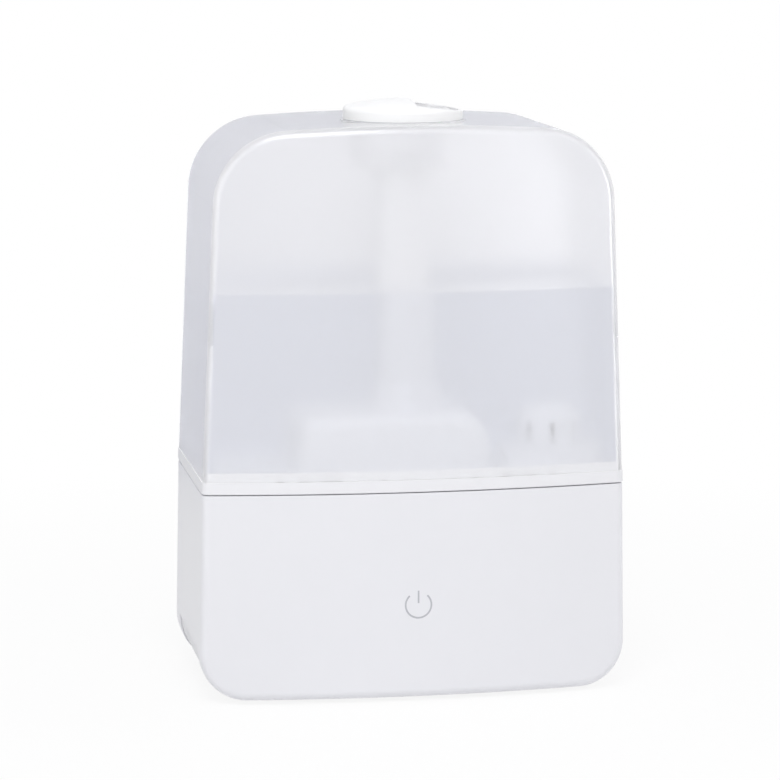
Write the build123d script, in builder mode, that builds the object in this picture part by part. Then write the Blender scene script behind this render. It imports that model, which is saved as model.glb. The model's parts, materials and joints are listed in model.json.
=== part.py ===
from build123d import *

import os
from math import cos, pi, radians, sin, sqrt, tan

# A cool mist humidifier: a frosted water tank with a rotating mist outlet lifts off a white base.
# Millimetres. The front faces -Y, X runs to the right seen from the front, and Z = 0 is the table.

os.makedirs("parts", exist_ok=True)

# Case seen from the front
WIDTH = 199.4  # base, where its bottom corner rounds end
SEAM_WIDTH = 196.5  # where base and tank meet
TOP_WIDTH = 182.6  # tank, sides carried up to the crown
BASE_HEIGHT = 96.0
TANK_HEIGHT = 166.9
SEAM_GAP = 0.5
FOOT_HEIGHT = 1.6
BOTTOM_CORNER = 21.5
TOP_CORNER = 35.0
CROWN_RADIUS = 900.0

# Case seen from above
DEPTH = 107.0
FRONT_BOW = 8.7  # bulge of the front across the base's width
EDGE_ROUND = 4.0
LEAST_ROUND = 0.6  # edge round of a deep inset
SEAM_BEVEL = 0.4

# Walls and clearances
BASE_WALL = 2.5
TANK_WALL = 2.2
FIT_GAP = 0.4  # between pieces that slide or turn past each other
NEST_GAP = 0.1  # between pieces that stay together
RUN_GAP = 0.05  # round a shaft in its bushing
JOIN = 0.5  # how far a boss or rib runs into the wall that carries it

# Screws
SCREW_RADIUS = 1.4
SCREW_HEAD = 2.8
SCREW_HEAD_HEIGHT = 2.2
SMALL_SCREW_RADIUS = 0.9
SMALL_SCREW_HEAD = 1.8
SMALL_SCREW_HEAD_HEIGHT = 1.4
DRIVE_SLOT = 0.7  # width and depth of the cross in a screw head
DRIVE_SPAN = 1.3  # length of the cross in head radii
GRIP = 8.0  # length of thread that a screw takes

# Bottom cover
COVER_INSET = 0.8
COVER_WALL = 2.2
COVER_HALF_DEPTH = 36.0
COVER_SIDE_HEIGHT = 23.2
COLUMN_X = 71.0
COLUMN_Y = 25.0
COLUMN_RADIUS = 4.0
COVER_BOSS_RADIUS = 5.0
COVER_BOSS_HEIGHT = 7.0
COUNTERBORE = 3.4
FOOT_X = 50.0
FOOT_Y = 25.0
FOOT_RADIUS = 7.0
FOOT_POCKET = 1.0
INTAKE_SLOTS = 6
INTAKE_PITCH = 4.2
INTAKE_WIDTH = 2.4
INTAKE_LENGTH = 26.0

# Basin tray in the top of the base
SEAT_DROP = 4.2  # tank seat below the seam
FLANGE = 2.5
LEDGE = 2.6
LEDGE_HEIGHT = 3.0
TUB_SIDE = 10.5
TUB_MARGIN = 5.5
TUB_WALL = 2.0
TUB_DEPTH = 23.5
TUB_CORNER = 10.0

# Mist maker under the duct
NOZZLE_SETBACK = 43.5  # duct axis behind the front
WELL_RADIUS = 20.0
WELL_WALL = 2.0
WELL_DEPTH = 12.0
DISC_RADIUS = 12.5
DISC_THICK = 1.2
DISC_WINDOW = 9.5  # bore that lets the disc work on the water
GASKET_LIP = 1.4
GASKET_WALL = 2.0
CLAMP_THICK = 2.0
CLAMP_SCREW_RADIUS = 18.0  # of the circle that the screws stand on
CLAMP_EAR = 3.2
CLAMP_SCREWS = 3

# Air way
CHIMNEY_X = 37.0  # left of the duct axis
CHIMNEY_Y = 10.0  # behind the duct axis
CHIMNEY_WIDTH = 20.0
CHIMNEY_DEPTH = 24.0
CHIMNEY_WALL = 2.0
CHIMNEY_CORNER = 3.0
FAN_SIZE = 40.0
FAN_THICK = 10.0
FAN_HOLE_PITCH = 32.0
FAN_CORNER = 4.0
FAN_BORE = 18.6
FAN_STAND = 15.0  # air room between cover and fan
FAN_POST = 3.3
FAN_BASE = 2.2
FAN_SPOKES = 4
FAN_SPOKE_WIDTH = 3.0
HUB_RADIUS = 10.2
HUB_WALL = 1.4
BLADES = 7
BLADE_TIP = 17.9
BLADE_CHORD = 8.0
BLADE_THICK = 1.1
ROOT_PITCH = 42.0
TIP_PITCH = 30.0
ROTOR_LIFT = 0.6  # hub rim above the motor plate
MAGNET_THICK = 0.9
SHAFT_RADIUS = 1.5
BUSHING_WALL = 1.1
STATOR_RADIUS = 6.8
STATOR_HEIGHT = 4.0
STATOR_POLES = 4
FUNNEL_WALL = 1.6
FUNNEL_FLANGE = 2.0
FUNNEL_RISE = 13.0
FUNNEL_NECK_LAP = 5.0  # neck inside the chimney
FUNNEL_ROUND = 0.45  # corner of the funnel's mouth as a share of its width

# Water level float
FLOAT_Y = -2.0  # from the duct axis
FLOAT_RADIUS = 12.0
FLOAT_HEIGHT = 10.0
FLOAT_TRAVEL = 7.0
FLOAT_SEAT = 2.0
FLOAT_SEAT_RADIUS = 6.0
FLOAT_POST = 3.5
FLOAT_POST_BORE = 2.4
FLOAT_ROUND = 1.5
CLIP_RADIUS = 5.8
CLIP_THICK = 1.6
CLIP_PIN = 1.8
RING_MAGNET_RADIUS = 7.0
RING_MAGNET_HEIGHT = 3.0
REED_LENGTH = 12.0
REED_WALL_GAP = 0.3

# Boards
BOARD_THICK = 1.6
BOARD_X = 34.0
BOARD_Y = 1.0
BOARD_WIDTH = 60.0
BOARD_DEPTH = 62.0
BOARD_STAND = 9.0
BOARD_HOLE_INSET = 4.0
BOARD_POST = 3.0
CONNECTOR_WIDTH = 8.0
CONNECTOR_DEPTH = 6.0
CONNECTOR_HEIGHT = 8.0
HEAT_SINK_WIDTH = 26.0
HEAT_SINK_DEPTH = 14.0
HEAT_SINK_HEIGHT = 22.0
HEAT_SINK_WEB = 3.0
HEAT_SINK_FINS = 6
FIN_THICK = 1.6
TRANSISTOR_WIDTH = 10.0
TRANSISTOR_THICK = 4.4
TRANSISTOR_HEIGHT = 15.0
CAN_RADIUS = 5.0
CAN_HEIGHT = 16.0
COIL_RADIUS = 7.0
COIL_CORE = 4.0
COIL_FLANGE = 1.5
COIL_HEIGHT = 11.0
CHIP_WIDTH = 12.0
CHIP_DEPTH = 8.0
CHIP_HEIGHT = 2.4
HEAT_SINK_PLACE = (8.0, 9.0)  # these four from the board's middle
COIL_PLACE = (20.0, -11.0)
CHIP_PLACE = (0.0, -12.0)
CAN_PLACES = ((-16.0, 20.0), (-16.0, 6.0))
MIST_PLUG_PLACE = (13.0, 13.0)  # from the board's front left corner
FAN_PLUG_Y = 24.0  # from the board's front edge
TOUCH_PLUG_X = 2.0  # from the board's middle
JACK_PLUG_INSET = 5.0  # from the board's back edge
PLUG_MARGIN = 1.0
TOUCH_GAP = 4.0  # front wall to touch board
TOUCH_WIDTH = 44.0
TOUCH_HEIGHT = 34.0
TOUCH_HOLE_X = 17.0
TOUCH_BOSS = 3.0
TOUCH_COIL_RADIUS = 4.5
TOUCH_COIL_TURNS = 2
TOUCH_WIRE = 0.4  # wire radius
LAMP_WIDTH = 3.2
LAMP_LENGTH = 2.4
LAMP_RISE = 11.5  # lamp above the symbol's centre

# Power symbol on the front
SYMBOL_Z = 45.4
SYMBOL_RADIUS = 6.0
SYMBOL_LINE = 0.8
SYMBOL_OPENING = 43.0  # degrees each side of the top
SYMBOL_BAR_LOW = 0.9  # bar ends above the symbol's centre
SYMBOL_BAR_HIGH = 6.7
SYMBOL_DEPTH = 0.3

# Power inlet at the back
INLET_X = 54.0
INLET_Z = 42.0
INLET_RADIUS = 5.75
INLET_DEPTH = 8.5
INLET_WALL = 2.0
JACK_SIZE = 12.0
JACK_LENGTH = 12.0
JACK_BORE = 3.2
JACK_BORE_DEPTH = 9.5
JACK_PIN = 1.0
CRADLE_WIDTH = 14.0
CRADLE_THICK = 2.0
LEAD_RADIUS = 1.1
LEAD_BEND = 0.45  # share of a run that each of its bends takes
LEAD_STUB = 8.0  # straight run at a lead's end
MIST_LEAD_STUB = 12.0

# Tank
RIM_HEIGHT = 5.6
RIM_PROUD = 0.3
RIM_WALL = 4.2
FLOOR_THICK = 2.5
SKIRT_INSET = 3.4
SKIRT_WALL = 2.0
WELD_RIB = 4.0
CHAMBER_LEFT = 54.0  # all four from the duct axis
CHAMBER_RIGHT = 37.0
CHAMBER_FRONT = 30.0
CHAMBER_BACK = 34.0
CHAMBER_HEIGHT = 28.3
CHAMBER_WALL = 2.0
CHAMBER_DRAFT = 3.0  # lean of each side over the chamber's height
CHAMBER_LEFT_ROUND = 8.0
CHAMBER_RIGHT_ROUND = 15.0
CHAMBER_EDGE_ROUND = 7.0
DUCT_RADIUS = 13.0
DUCT_WALL = 2.0
DUCT_FLARE = 6.5
DUCT_FLARE_HEIGHT = 13.0
CUP_RADIUS = 22.2
CUP_WALL = 2.0
CUP_DEPTH = 20.0
DUCT_STANDS = 4.0  # duct end above the cup's floor
SEAL_WALL = 2.0
SEAL_HEIGHT = 3.0
PAD_RADIUS = 29.0

# Filler cap with its valve
CAP_EDGE = 31.25  # cap axis inside the tank's side
CAP_Y = 3.0  # behind the duct axis
CAP_POCKET_RISE = 8.9
CAP_WALL = 1.8
CAP_PLATE = 2.7
CAP_POCKET_GAP = 1.0
CAP_TOP_GAP = 2.1
NECK_BORE = 15.8
NECK_WALL = 1.7
NECK_LENGTH = 9.5
LUG_REACH = 1.3
LUG_WIDTH = 9.0
LUG_HEIGHT = 2.0
LUGS = 3
SEAL_THICK = 1.7
SEAL_BITE = 0.4  # gasket bore outside the neck's bore
GRIP_WIDTH = 3.0
GRIP_LENGTH = 10.0
GRIP_DROP = 1.5
GRIP_RADIUS = 13.0
STRAINER_RADIUS = 15.0
STRAINER_WALL = 1.6
STRAINER_RISE = 33.1
STRAINER_ROUND = 9.0
STRAINER_SLOTS = 8
STRAINER_SLOT = 2.4
STRAINER_SLOT_LOW = 16.0  # slot ends above the cap's plate
STRAINER_SLOT_HIGH = 25.0
GUIDE_RISE = 13.0  # guide plate above the cap's plate
GUIDE_THICK = 2.0
GUIDE_HOLES = 4
GUIDE_HOLE = 2.4
GUIDE_HOLE_CIRCLE = 8.5
VALVE_PORT = 5.0
VALVE_TRAVEL = 4.0
VALVE_DISC = 7.5
VALVE_DISC_THICK = 2.0
VALVE_STEM = 3.2
VALVE_GUIDE = 2.0
VALVE_REACH = 1.7  # stem tip below the cap when the tank is seated
VALVE_TIP_GAP = 0.2
WASHER_THICK = 1.5
VALVE_POST_FOOT = 6.0
VALVE_POST_TIP = 3.5
VALVE_COIL_RADIUS = 4.2
VALVE_WIRE = 0.4  # wire radius
VALVE_COIL_TURNS = 4

# Mist outlet
NOZZLE_RADIUS = 27.7
NOZZLE_WALL = 2.0
NOZZLE_RISE = 9.4  # highest point above the tank's top
NOZZLE_GAP = 0.3  # shadow line under the skirt
DOME_RADIUS = 110.0
DOME_ROUND = 2.6
COLLAR_WALL = 2.0
COLLAR_LENGTH = 13.0
COLLAR_FLANGE = 1.3
COLLAR_FLANGE_RADIUS = 25.0
COLLAR_NECK = 19.5
COLLAR_NECK_RISE = 2.4
TURN_RING_WALL = 1.6
MOUTH_OFFSET = 2.6  # start of the sliced side from the axis
MOUTH_DROP = 2.4  # slice below the dome's top, at its start
MOUTH_SLOPE = 7.0  # degrees that the slice falls outwards
MOUTH_ROUND = 0.5
RING_SEAL_RADIUS = 0.8
RING_SEAL_BELOW = 6.0
BAFFLE_DISC = 8.0
BAFFLE_RIM = 1.5
BAFFLE_THICK = 1.5
BAFFLE_ARMS = 3
BAFFLE_ARM_WIDTH = 2.5
BAFFLE_BELOW = 5.0

# Levels
z_base = FOOT_HEIGHT
z_seam = z_base + BASE_HEIGHT
z_rim = z_seam + SEAM_GAP
z_floor = z_rim + RIM_HEIGHT
z_top = z_rim + TANK_HEIGHT
z_cover = z_base + COVER_INSET
z_inside = z_cover + COVER_WALL
z_cover_top = z_base + COVER_SIDE_HEIGHT
z_boss = z_inside + COVER_BOSS_HEIGHT
z_seat = z_seam - SEAT_DROP
z_tub = z_seat - TUB_DEPTH
z_tub_low = z_tub - TUB_WALL
z_well = z_tub - WELL_DEPTH
z_well_low = z_well - WELL_WALL
z_gasket_low = z_well_low - 2 * GASKET_LIP - DISC_THICK
z_clamp_low = z_gasket_low - CLAMP_THICK
z_fan = z_inside + FAN_STAND
z_fan_top = z_fan + FAN_THICK
z_board = z_inside + BOARD_STAND
z_board_top = z_board + BOARD_THICK
z_float = z_tub + FLOAT_SEAT
z_clip = z_float + FLOAT_HEIGHT + FLOAT_TRAVEL + FIT_GAP
z_chamber = z_floor + CHAMBER_HEIGHT
z_cup = z_top - CUP_DEPTH
z_duct_top = z_cup + DUCT_STANDS
z_pocket = z_floor + CAP_POCKET_RISE
z_pocket_low = z_pocket - FLOOR_THICK
z_neck_end = z_pocket_low - NECK_LENGTH
z_cap_plate = z_neck_end - SEAL_THICK
z_cap_low = z_cap_plate - CAP_PLATE
z_cap_top = z_pocket_low - CAP_TOP_GAP
z_neck_lug = z_neck_end + FIT_GAP / 2
z_cap_lug = z_neck_lug + LUG_HEIGHT + FIT_GAP
z_washer = z_cap_plate + VALVE_TRAVEL
z_valve_disc = z_washer + WASHER_THICK
z_valve_top = z_valve_disc + VALVE_DISC_THICK
z_guide = z_cap_plate + GUIDE_RISE + VALVE_TRAVEL
z_stem_tip = z_cap_low - VALVE_REACH
z_collar = z_top + COLLAR_FLANGE
z_skirt = z_top + NOZZLE_GAP
z_nozzle = z_top + NOZZLE_RISE

# Places
y_duct = -DEPTH / 2 + NOZZLE_SETBACK
fan_x = -CHIMNEY_X
fan_y = y_duct + CHIMNEY_Y
cap_x = SEAM_WIDTH / 2 - CAP_EDGE
cap_y = y_duct + CAP_Y
tub_half = SEAM_WIDTH / 2 - TUB_SIDE
float_x = -(tub_half - TUB_WALL + CHIMNEY_X + CHIMNEY_WIDTH / 2 + CHIMNEY_WALL) / 2
float_y = y_duct + FLOAT_Y
inlet_face = DEPTH / 2 - INLET_DEPTH
jack_back = inlet_face - JACK_LENGTH
neck_radius = NECK_BORE + NECK_WALL
lug_radius = neck_radius + LUG_REACH
cap_bore = sqrt(lug_radius**2 + (LUG_WIDTH / 2) ** 2) + FIT_GAP
cap_radius = cap_bore + CAP_WALL
pocket_bore = cap_radius + CAP_POCKET_GAP
duct_hole = DUCT_RADIUS + NEST_GAP
collar_radius = CUP_RADIUS - FIT_GAP
turn_ring_bore = COLLAR_NECK + FIT_GAP
bow_radius = ((WIDTH / 2) ** 2 + FRONT_BOW**2) / (2 * FRONT_BOW)
screw_hole = SCREW_RADIUS + NEST_GAP
small_screw_hole = SMALL_SCREW_RADIUS + NEST_GAP

ON_FLOOR = (Align.CENTER, Align.CENTER, Align.MIN)
HUNG = (Align.CENTER, Align.CENTER, Align.MAX)


def mirrored(x, y):
    """The four points at plus and minus x and y."""
    return [(sx * x, sy * y) for sx in (-1, 1) for sy in (-1, 1)]


def moved(points, x, y):
    """The points shifted by x and y."""
    return [(px + x, py + y) for px, py in points]


columns = mirrored(COLUMN_X, COLUMN_Y)
feet = mirrored(FOOT_X, FOOT_Y)
fan_holes = moved(mirrored(FAN_HOLE_PITCH / 2, FAN_HOLE_PITCH / 2), fan_x, fan_y)
board_corner = (BOARD_WIDTH / 2 - BOARD_HOLE_INSET, BOARD_DEPTH / 2 - BOARD_HOLE_INSET)
board_holes = moved(mirrored(*board_corner), BOARD_X, BOARD_Y)
touch_holes = [(-TOUCH_HOLE_X, SYMBOL_Z), (TOUCH_HOLE_X, SYMBOL_Z)]


def front_y(x, inset=0.0):
    """Where the bulging front lies at x, moved inwards by inset."""
    return -DEPTH / 2 + bow_radius - sqrt((bow_radius - inset) ** 2 - x**2)


def base_half(z):
    """Half the base's width at height z."""
    low = z_base + BOTTOM_CORNER
    lean = (WIDTH - SEAM_WIDTH) / 2 / (z_seam - low)
    return WIDTH / 2 - lean * (z - low)


def crown_drop(x):
    """How far the crowned top has fallen at x."""
    return CROWN_RADIUS - sqrt(CROWN_RADIUS**2 - x**2)


z_corner = z_top - crown_drop(TOP_WIDTH / 2)


def tank_half(z):
    """Half the tank's width at height z."""
    lean = (SEAM_WIDTH - TOP_WIDTH) / 2 / (z_corner - z_seam)
    return SEAM_WIDTH / 2 - lean * (z - z_seam)


def bowed_plan(inset):
    """The case seen from above, wider than the case, with its bulging front and flat back."""
    reach = max(WIDTH, SEAM_WIDTH) / 2 + 2 * EDGE_ROUND
    side = front_y(reach, inset)
    back = DEPTH / 2 - inset
    with BuildLine() as edge:
        ThreePointArc((-reach, side), (0, front_y(0, inset)), (reach, side))
        Polyline((reach, side), (reach, back), (-reach, back), (-reach, side))
    make_face(edge.edges())


def face_edges(block, open_end):
    """The edges round the front and the back, without those at the open end."""
    faces = block.faces().sort_by(Axis.Y)
    edges = faces[0].edges() + faces[-1].edges()
    return [edge for edge in edges if abs(edge.center().Z - open_end) > 2 * EDGE_ROUND]


def base_block(inset=0.0):
    """The base's form, smaller all round by inset, running on past its seam."""
    tall = z_seam + 4 * EDGE_ROUND
    with BuildPart() as block:
        with BuildSketch(Plane.XZ) as outline:
            with BuildLine():
                Polyline(
                    (-base_half(tall), tall),
                    (-base_half(z_base), z_base),
                    (base_half(z_base), z_base),
                    (base_half(tall), tall),
                    close=True,
                )
            make_face()
            fillet(outline.vertices().group_by(Axis.Y)[0], BOTTOM_CORNER)
            if inset:
                offset(amount=-inset, kind=Kind.INTERSECTION)
        extrude(amount=DEPTH, both=True)
        with BuildSketch(Plane.XY):
            bowed_plan(inset)
        extrude(amount=2 * tall, mode=Mode.INTERSECT)
        fillet(face_edges(block, tall - inset), max(EDGE_ROUND - inset, LEAST_ROUND))
    return block.part


def tank_block(inset=0.0):
    """The tank's form, smaller all round by inset, running on down past its rim."""
    low = z_rim - 4 * EDGE_ROUND
    left = (-TOP_WIDTH / 2, z_corner)
    right = (TOP_WIDTH / 2, z_corner)
    with BuildPart() as block:
        with BuildSketch(Plane.XZ) as outline:
            with BuildLine():
                ThreePointArc(left, (0, z_top), right)
                Polyline(right, (tank_half(low), low), (-tank_half(low), low), left)
            make_face()
            fillet(outline.vertices().group_by(Axis.Y)[-1], TOP_CORNER)
            if inset:
                offset(amount=-inset, kind=Kind.INTERSECTION)
        extrude(amount=DEPTH, both=True)
        with BuildSketch(Plane.XY):
            bowed_plan(inset)
        extrude(amount=2 * z_top, mode=Mode.INTERSECT)
        fillet(face_edges(block, low + inset), max(EDGE_ROUND - inset, LEAST_ROUND))
    return block.part


def layer(block, z_low, z_high):
    """What lies of a block between two heights."""
    with BuildPart() as piece:
        add(block)
        split(bisect_by=Plane.XY.offset(z_low), keep=Keep.TOP)
        split(bisect_by=Plane.XY.offset(z_high), keep=Keep.BOTTOM)
    return piece.part


def band(form, outer_inset, inner_inset, z_low, z_high):
    """A ring that follows the case between two insets and two heights."""
    outer = form(outer_inset)
    inner = form(inner_inset)
    with BuildPart() as piece:
        add(outer)
        add(inner, mode=Mode.SUBTRACT)
        split(bisect_by=Plane.XY.offset(z_low), keep=Keep.TOP)
        split(bisect_by=Plane.XY.offset(z_high), keep=Keep.BOTTOM)
    return piece.part


def cuboid(low, high, mode=Mode.ADD):
    """A box between two opposite corners."""
    middle = tuple((a + b) / 2 for a, b in zip(low, high))
    size = tuple(b - a for a, b in zip(low, high))
    with Locations(middle):
        Box(*size, mode=mode)


def pillars(points, radius, z_low, z_high, mode=Mode.ADD):
    """Upright round bars, or bores, at the points."""
    with Locations(*[(x, y, z_low) for x, y in points]):
        Cylinder(radius, z_high - z_low, align=ON_FLOOR, mode=mode)


def turned(x, y, points, mode=Mode.ADD):
    """A closed outline of (radius, height) points spun about the upright line at x, y."""
    with BuildSketch(Plane(origin=(x, y, 0), x_dir=(1, 0, 0), z_dir=(0, -1, 0))) as profile:
        with BuildLine():
            Polyline(*points, close=True)
        make_face()
    revolve(profile.sketch, axis=Axis((x, y, 0), (0, 0, 1)), mode=mode)


def screws(points, seat, radius, head, head_height, length, from_below):
    """Cross-head screws whose heads bear on the height seat."""
    shank_align = ON_FLOOR if from_below else HUNG
    head_align = HUNG if from_below else ON_FLOOR
    drive_z = seat - head_height if from_below else seat + head_height
    with Locations(*[(x, y, seat) for x, y in points]):
        Cylinder(radius, length, align=shank_align)
        Cylinder(head, head_height, align=head_align)
    with Locations(*[(x, y, drive_z) for x, y in points]):
        Box(DRIVE_SPAN * head, DRIVE_SLOT, 2 * DRIVE_SLOT, mode=Mode.SUBTRACT)
        Box(DRIVE_SLOT, DRIVE_SPAN * head, 2 * DRIVE_SLOT, mode=Mode.SUBTRACT)


def lugs(x, y, radius, reach, z_low):
    """Bayonet lugs round an upright axis, from radius outwards by reach."""
    middle = Plane.XY.offset(z_low).shift_origin((x, y, z_low))
    with Locations(middle):
        with PolarLocations(radius + reach / 2, LUGS):
            Box(reach, LUG_WIDTH, LUG_HEIGHT, align=ON_FLOOR)


def coil_path(frame, radius, length, turns):
    """A helix along the frame's own Z, as two tangent arcs for each quarter turn."""
    steps = 4 * turns
    climb = length / (2 * pi * turns)
    run = sqrt(radius**2 + climb**2)

    def point(angle):
        return frame.from_local_coords(Vector(radius * cos(angle), radius * sin(angle), climb * angle))

    def heading(angle):
        tip = Vector(-radius * sin(angle), radius * cos(angle), climb) / run
        return frame.from_local_coords(tip) - frame.origin

    for step in range(steps):
        start, end = step * pi / 2, (step + 1) * pi / 2
        chord = point(end) - point(start)
        ways = heading(start) + heading(end)
        spread = 2 * (1 - heading(start).dot(heading(end)))
        across = chord.dot(ways)
        arm = (sqrt(across**2 + spread * chord.dot(chord)) - across) / spread
        first = point(start) + heading(start) * arm
        second = point(end) - heading(end) * arm
        joint = (first + second) / 2
        TangentArc(point(start), joint, tangent=heading(start))
        TangentArc(joint, point(end), tangent=second - first)


def coil_spring(frame, radius, wire, length, turns):
    """A round-wire spring whose outer ends lie length apart along the frame's Z."""
    rise = length - 2 * wire
    inner = Plane(frame.origin + frame.z_dir * wire, x_dir=frame.x_dir, z_dir=frame.z_dir)
    with BuildPart() as spring:
        with BuildLine() as path:
            coil_path(inner, radius, rise, turns)
        with BuildSketch(Plane(path.line @ 0, z_dir=path.line % 0)):
            Circle(wire)
        sweep()
    print("spring gap between turns", round(rise / turns - 2 * wire, 2))
    return spring


def lead(points):
    """A round lead through the points, each bend as wide as its two runs allow."""
    corners = [Vector(*point) for point in points]
    radii = []
    for before, here, after in zip(corners, corners[1:], corners[2:]):
        turn = radians((here - before).get_angle(after - here))
        radii.append(LEAD_BEND * min((here - before).length, (after - here).length) / tan(turn / 2))
    with BuildPart() as cord:
        with BuildLine() as path:
            FilletPolyline(*corners, radius=radii)
        with BuildSketch(Plane(path.line @ 0, z_dir=path.line % 0)):
            Circle(LEAD_RADIUS)
        sweep()
    print("lead radii", [round(radius, 1) for radius in radii])
    return cord


def symbol_profile():
    """The power sign: a ring open at the top and a bar in the opening."""
    far = 2 * SYMBOL_RADIUS
    wide = radians(SYMBOL_OPENING)
    bar_middle = SYMBOL_Z + (SYMBOL_BAR_LOW + SYMBOL_BAR_HIGH) / 2
    with Locations((0, SYMBOL_Z)):
        Circle(SYMBOL_RADIUS + SYMBOL_LINE / 2)
        Circle(SYMBOL_RADIUS - SYMBOL_LINE / 2, mode=Mode.SUBTRACT)
    with BuildLine() as opening:
        Polyline(
            (0, SYMBOL_Z),
            (far * sin(wide), SYMBOL_Z + far * cos(wide)),
            (-far * sin(wide), SYMBOL_Z + far * cos(wide)),
            close=True,
        )
    make_face(opening.edges(), mode=Mode.SUBTRACT)
    with Locations((0, bar_middle)):
        Rectangle(SYMBOL_LINE, SYMBOL_BAR_HIGH - SYMBOL_BAR_LOW)


# Base housing: front, sides and back, with flanges under the front and the back
case_outer = layer(base_block(), 0, z_seam)
case_inner = base_block(BASE_WALL)
ledge = band(base_block, BASE_WALL - JOIN, BASE_WALL + LEDGE, z_seat - FLANGE - LEDGE_HEIGHT, z_seat - FLANGE)
y_touch = front_y(0, BASE_WALL) + TOUCH_GAP
shelf = JACK_SIZE / 2 + NEST_GAP
with BuildPart() as base_housing:
    add(case_outer)
    add(case_inner, mode=Mode.SUBTRACT)
    chamfer(base_housing.faces().sort_by(Axis.Z)[-1].outer_wire().edges(), SEAM_BEVEL)
    cuboid(
        (-WIDTH, -COVER_HALF_DEPTH, 0),
        (WIDTH, COVER_HALF_DEPTH, z_cover_top),
        mode=Mode.SUBTRACT,
    )
    add(ledge)
    with BuildSketch(Plane.XZ.offset(-y_touch)):
        with Locations(*touch_holes):
            Circle(TOUCH_BOSS)
    extrude(amount=TOUCH_GAP + JOIN)
    with BuildSketch(Plane.XZ.offset(-y_touch)):
        with Locations(*touch_holes):
            Circle(small_screw_hole)
    extrude(amount=TOUCH_GAP, mode=Mode.SUBTRACT)
    with BuildSketch(Plane.XZ.offset(DEPTH / 2)):
        symbol_profile()
    extrude(amount=-(SYMBOL_DEPTH + NEST_GAP), mode=Mode.SUBTRACT)
    with BuildSketch(Plane.XZ.offset(-inlet_face)):
        with Locations((INLET_X, INLET_Z)):
            Circle(INLET_RADIUS + INLET_WALL)
    extrude(amount=-(INLET_DEPTH - BASE_WALL + JOIN))
    for side in (-1, 1):
        edges = sorted((INLET_Z + side * shelf, INLET_Z + side * (shelf + CRADLE_THICK)))
        cuboid(
            (INLET_X - CRADLE_WIDTH / 2, jack_back, edges[0]),
            (INLET_X + CRADLE_WIDTH / 2, DEPTH / 2 - BASE_WALL + JOIN, edges[1]),
        )
    with BuildSketch(Plane.XZ.offset(-inlet_face)):
        with Locations((INLET_X, INLET_Z)):
            Circle(INLET_RADIUS)
    extrude(amount=-INLET_DEPTH, mode=Mode.SUBTRACT)
base_housing.part.label = "base_housing"
export_step(base_housing.part, "parts/base_housing.step")

# Power sign inlaid in the front
symbol_back = base_block(SYMBOL_DEPTH)
with BuildPart() as power_symbol:
    with BuildSketch(Plane.XZ.offset(DEPTH / 2)):
        symbol_profile()
    extrude(amount=-2 * SYMBOL_DEPTH)
    add(case_outer, mode=Mode.INTERSECT)
    add(symbol_back, mode=Mode.SUBTRACT)
power_symbol.part.label = "power_symbol"
export_step(power_symbol.part, "parts/power_symbol.step")

# Bottom cover: a pan that wraps up both bottom corners between the housing's flanges
cover_outer = base_block(COVER_INSET)
cover_inner = base_block(COVER_INSET + COVER_WALL)
cover_reach = COVER_HALF_DEPTH - FIT_GAP
z_screw_seat = z_cover + COUNTERBORE
with BuildPart() as bottom_cover:
    add(cover_outer)
    add(cover_inner, mode=Mode.SUBTRACT)
    cuboid((-WIDTH, -cover_reach, 0), (WIDTH, cover_reach, z_cover_top - FIT_GAP), mode=Mode.INTERSECT)
    pillars(columns, COVER_BOSS_RADIUS, z_inside - JOIN, z_boss)
    pillars(board_holes, BOARD_POST, z_inside - JOIN, z_board)
    pillars(fan_holes, FAN_POST, z_inside - JOIN, z_fan)
    pillars(columns, screw_hole, z_cover, z_boss, mode=Mode.SUBTRACT)
    pillars(columns, SCREW_HEAD + FIT_GAP, z_cover, z_screw_seat, mode=Mode.SUBTRACT)
    pillars(board_holes, small_screw_hole, z_board - GRIP, z_board, mode=Mode.SUBTRACT)
    pillars(fan_holes, screw_hole, z_fan - GRIP, z_fan, mode=Mode.SUBTRACT)
    pillars(feet, FOOT_RADIUS, z_cover, z_cover + FOOT_POCKET, mode=Mode.SUBTRACT)
    with BuildSketch(Plane.XY.offset(z_cover)):
        with Locations((fan_x, fan_y)):
            with GridLocations(INTAKE_PITCH, INTAKE_PITCH, INTAKE_SLOTS, 1):
                SlotOverall(INTAKE_LENGTH, INTAKE_WIDTH, rotation=90)
    extrude(amount=COVER_WALL, mode=Mode.SUBTRACT)
bottom_cover.part.label = "bottom_cover"
export_step(bottom_cover.part, "parts/bottom_cover.step")

with BuildPart() as rubber_feet:
    pillars(feet, FOOT_RADIUS, 0, z_cover + FOOT_POCKET)
    chamfer(rubber_feet.edges().group_by(Axis.Z)[0], FOOT_HEIGHT / 4)
rubber_feet.part.label = "rubber_feet"
export_step(rubber_feet.part, "parts/rubber_feet.step")

with BuildPart() as cover_screws:
    screws(
        columns,
        z_screw_seat,
        SCREW_RADIUS,
        SCREW_HEAD,
        SCREW_HEAD_HEIGHT,
        z_boss - z_screw_seat + GRIP,
        from_below=True,
    )
cover_screws.part.label = "cover_screws"
export_step(cover_screws.part, "parts/cover_screws.step")

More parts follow.
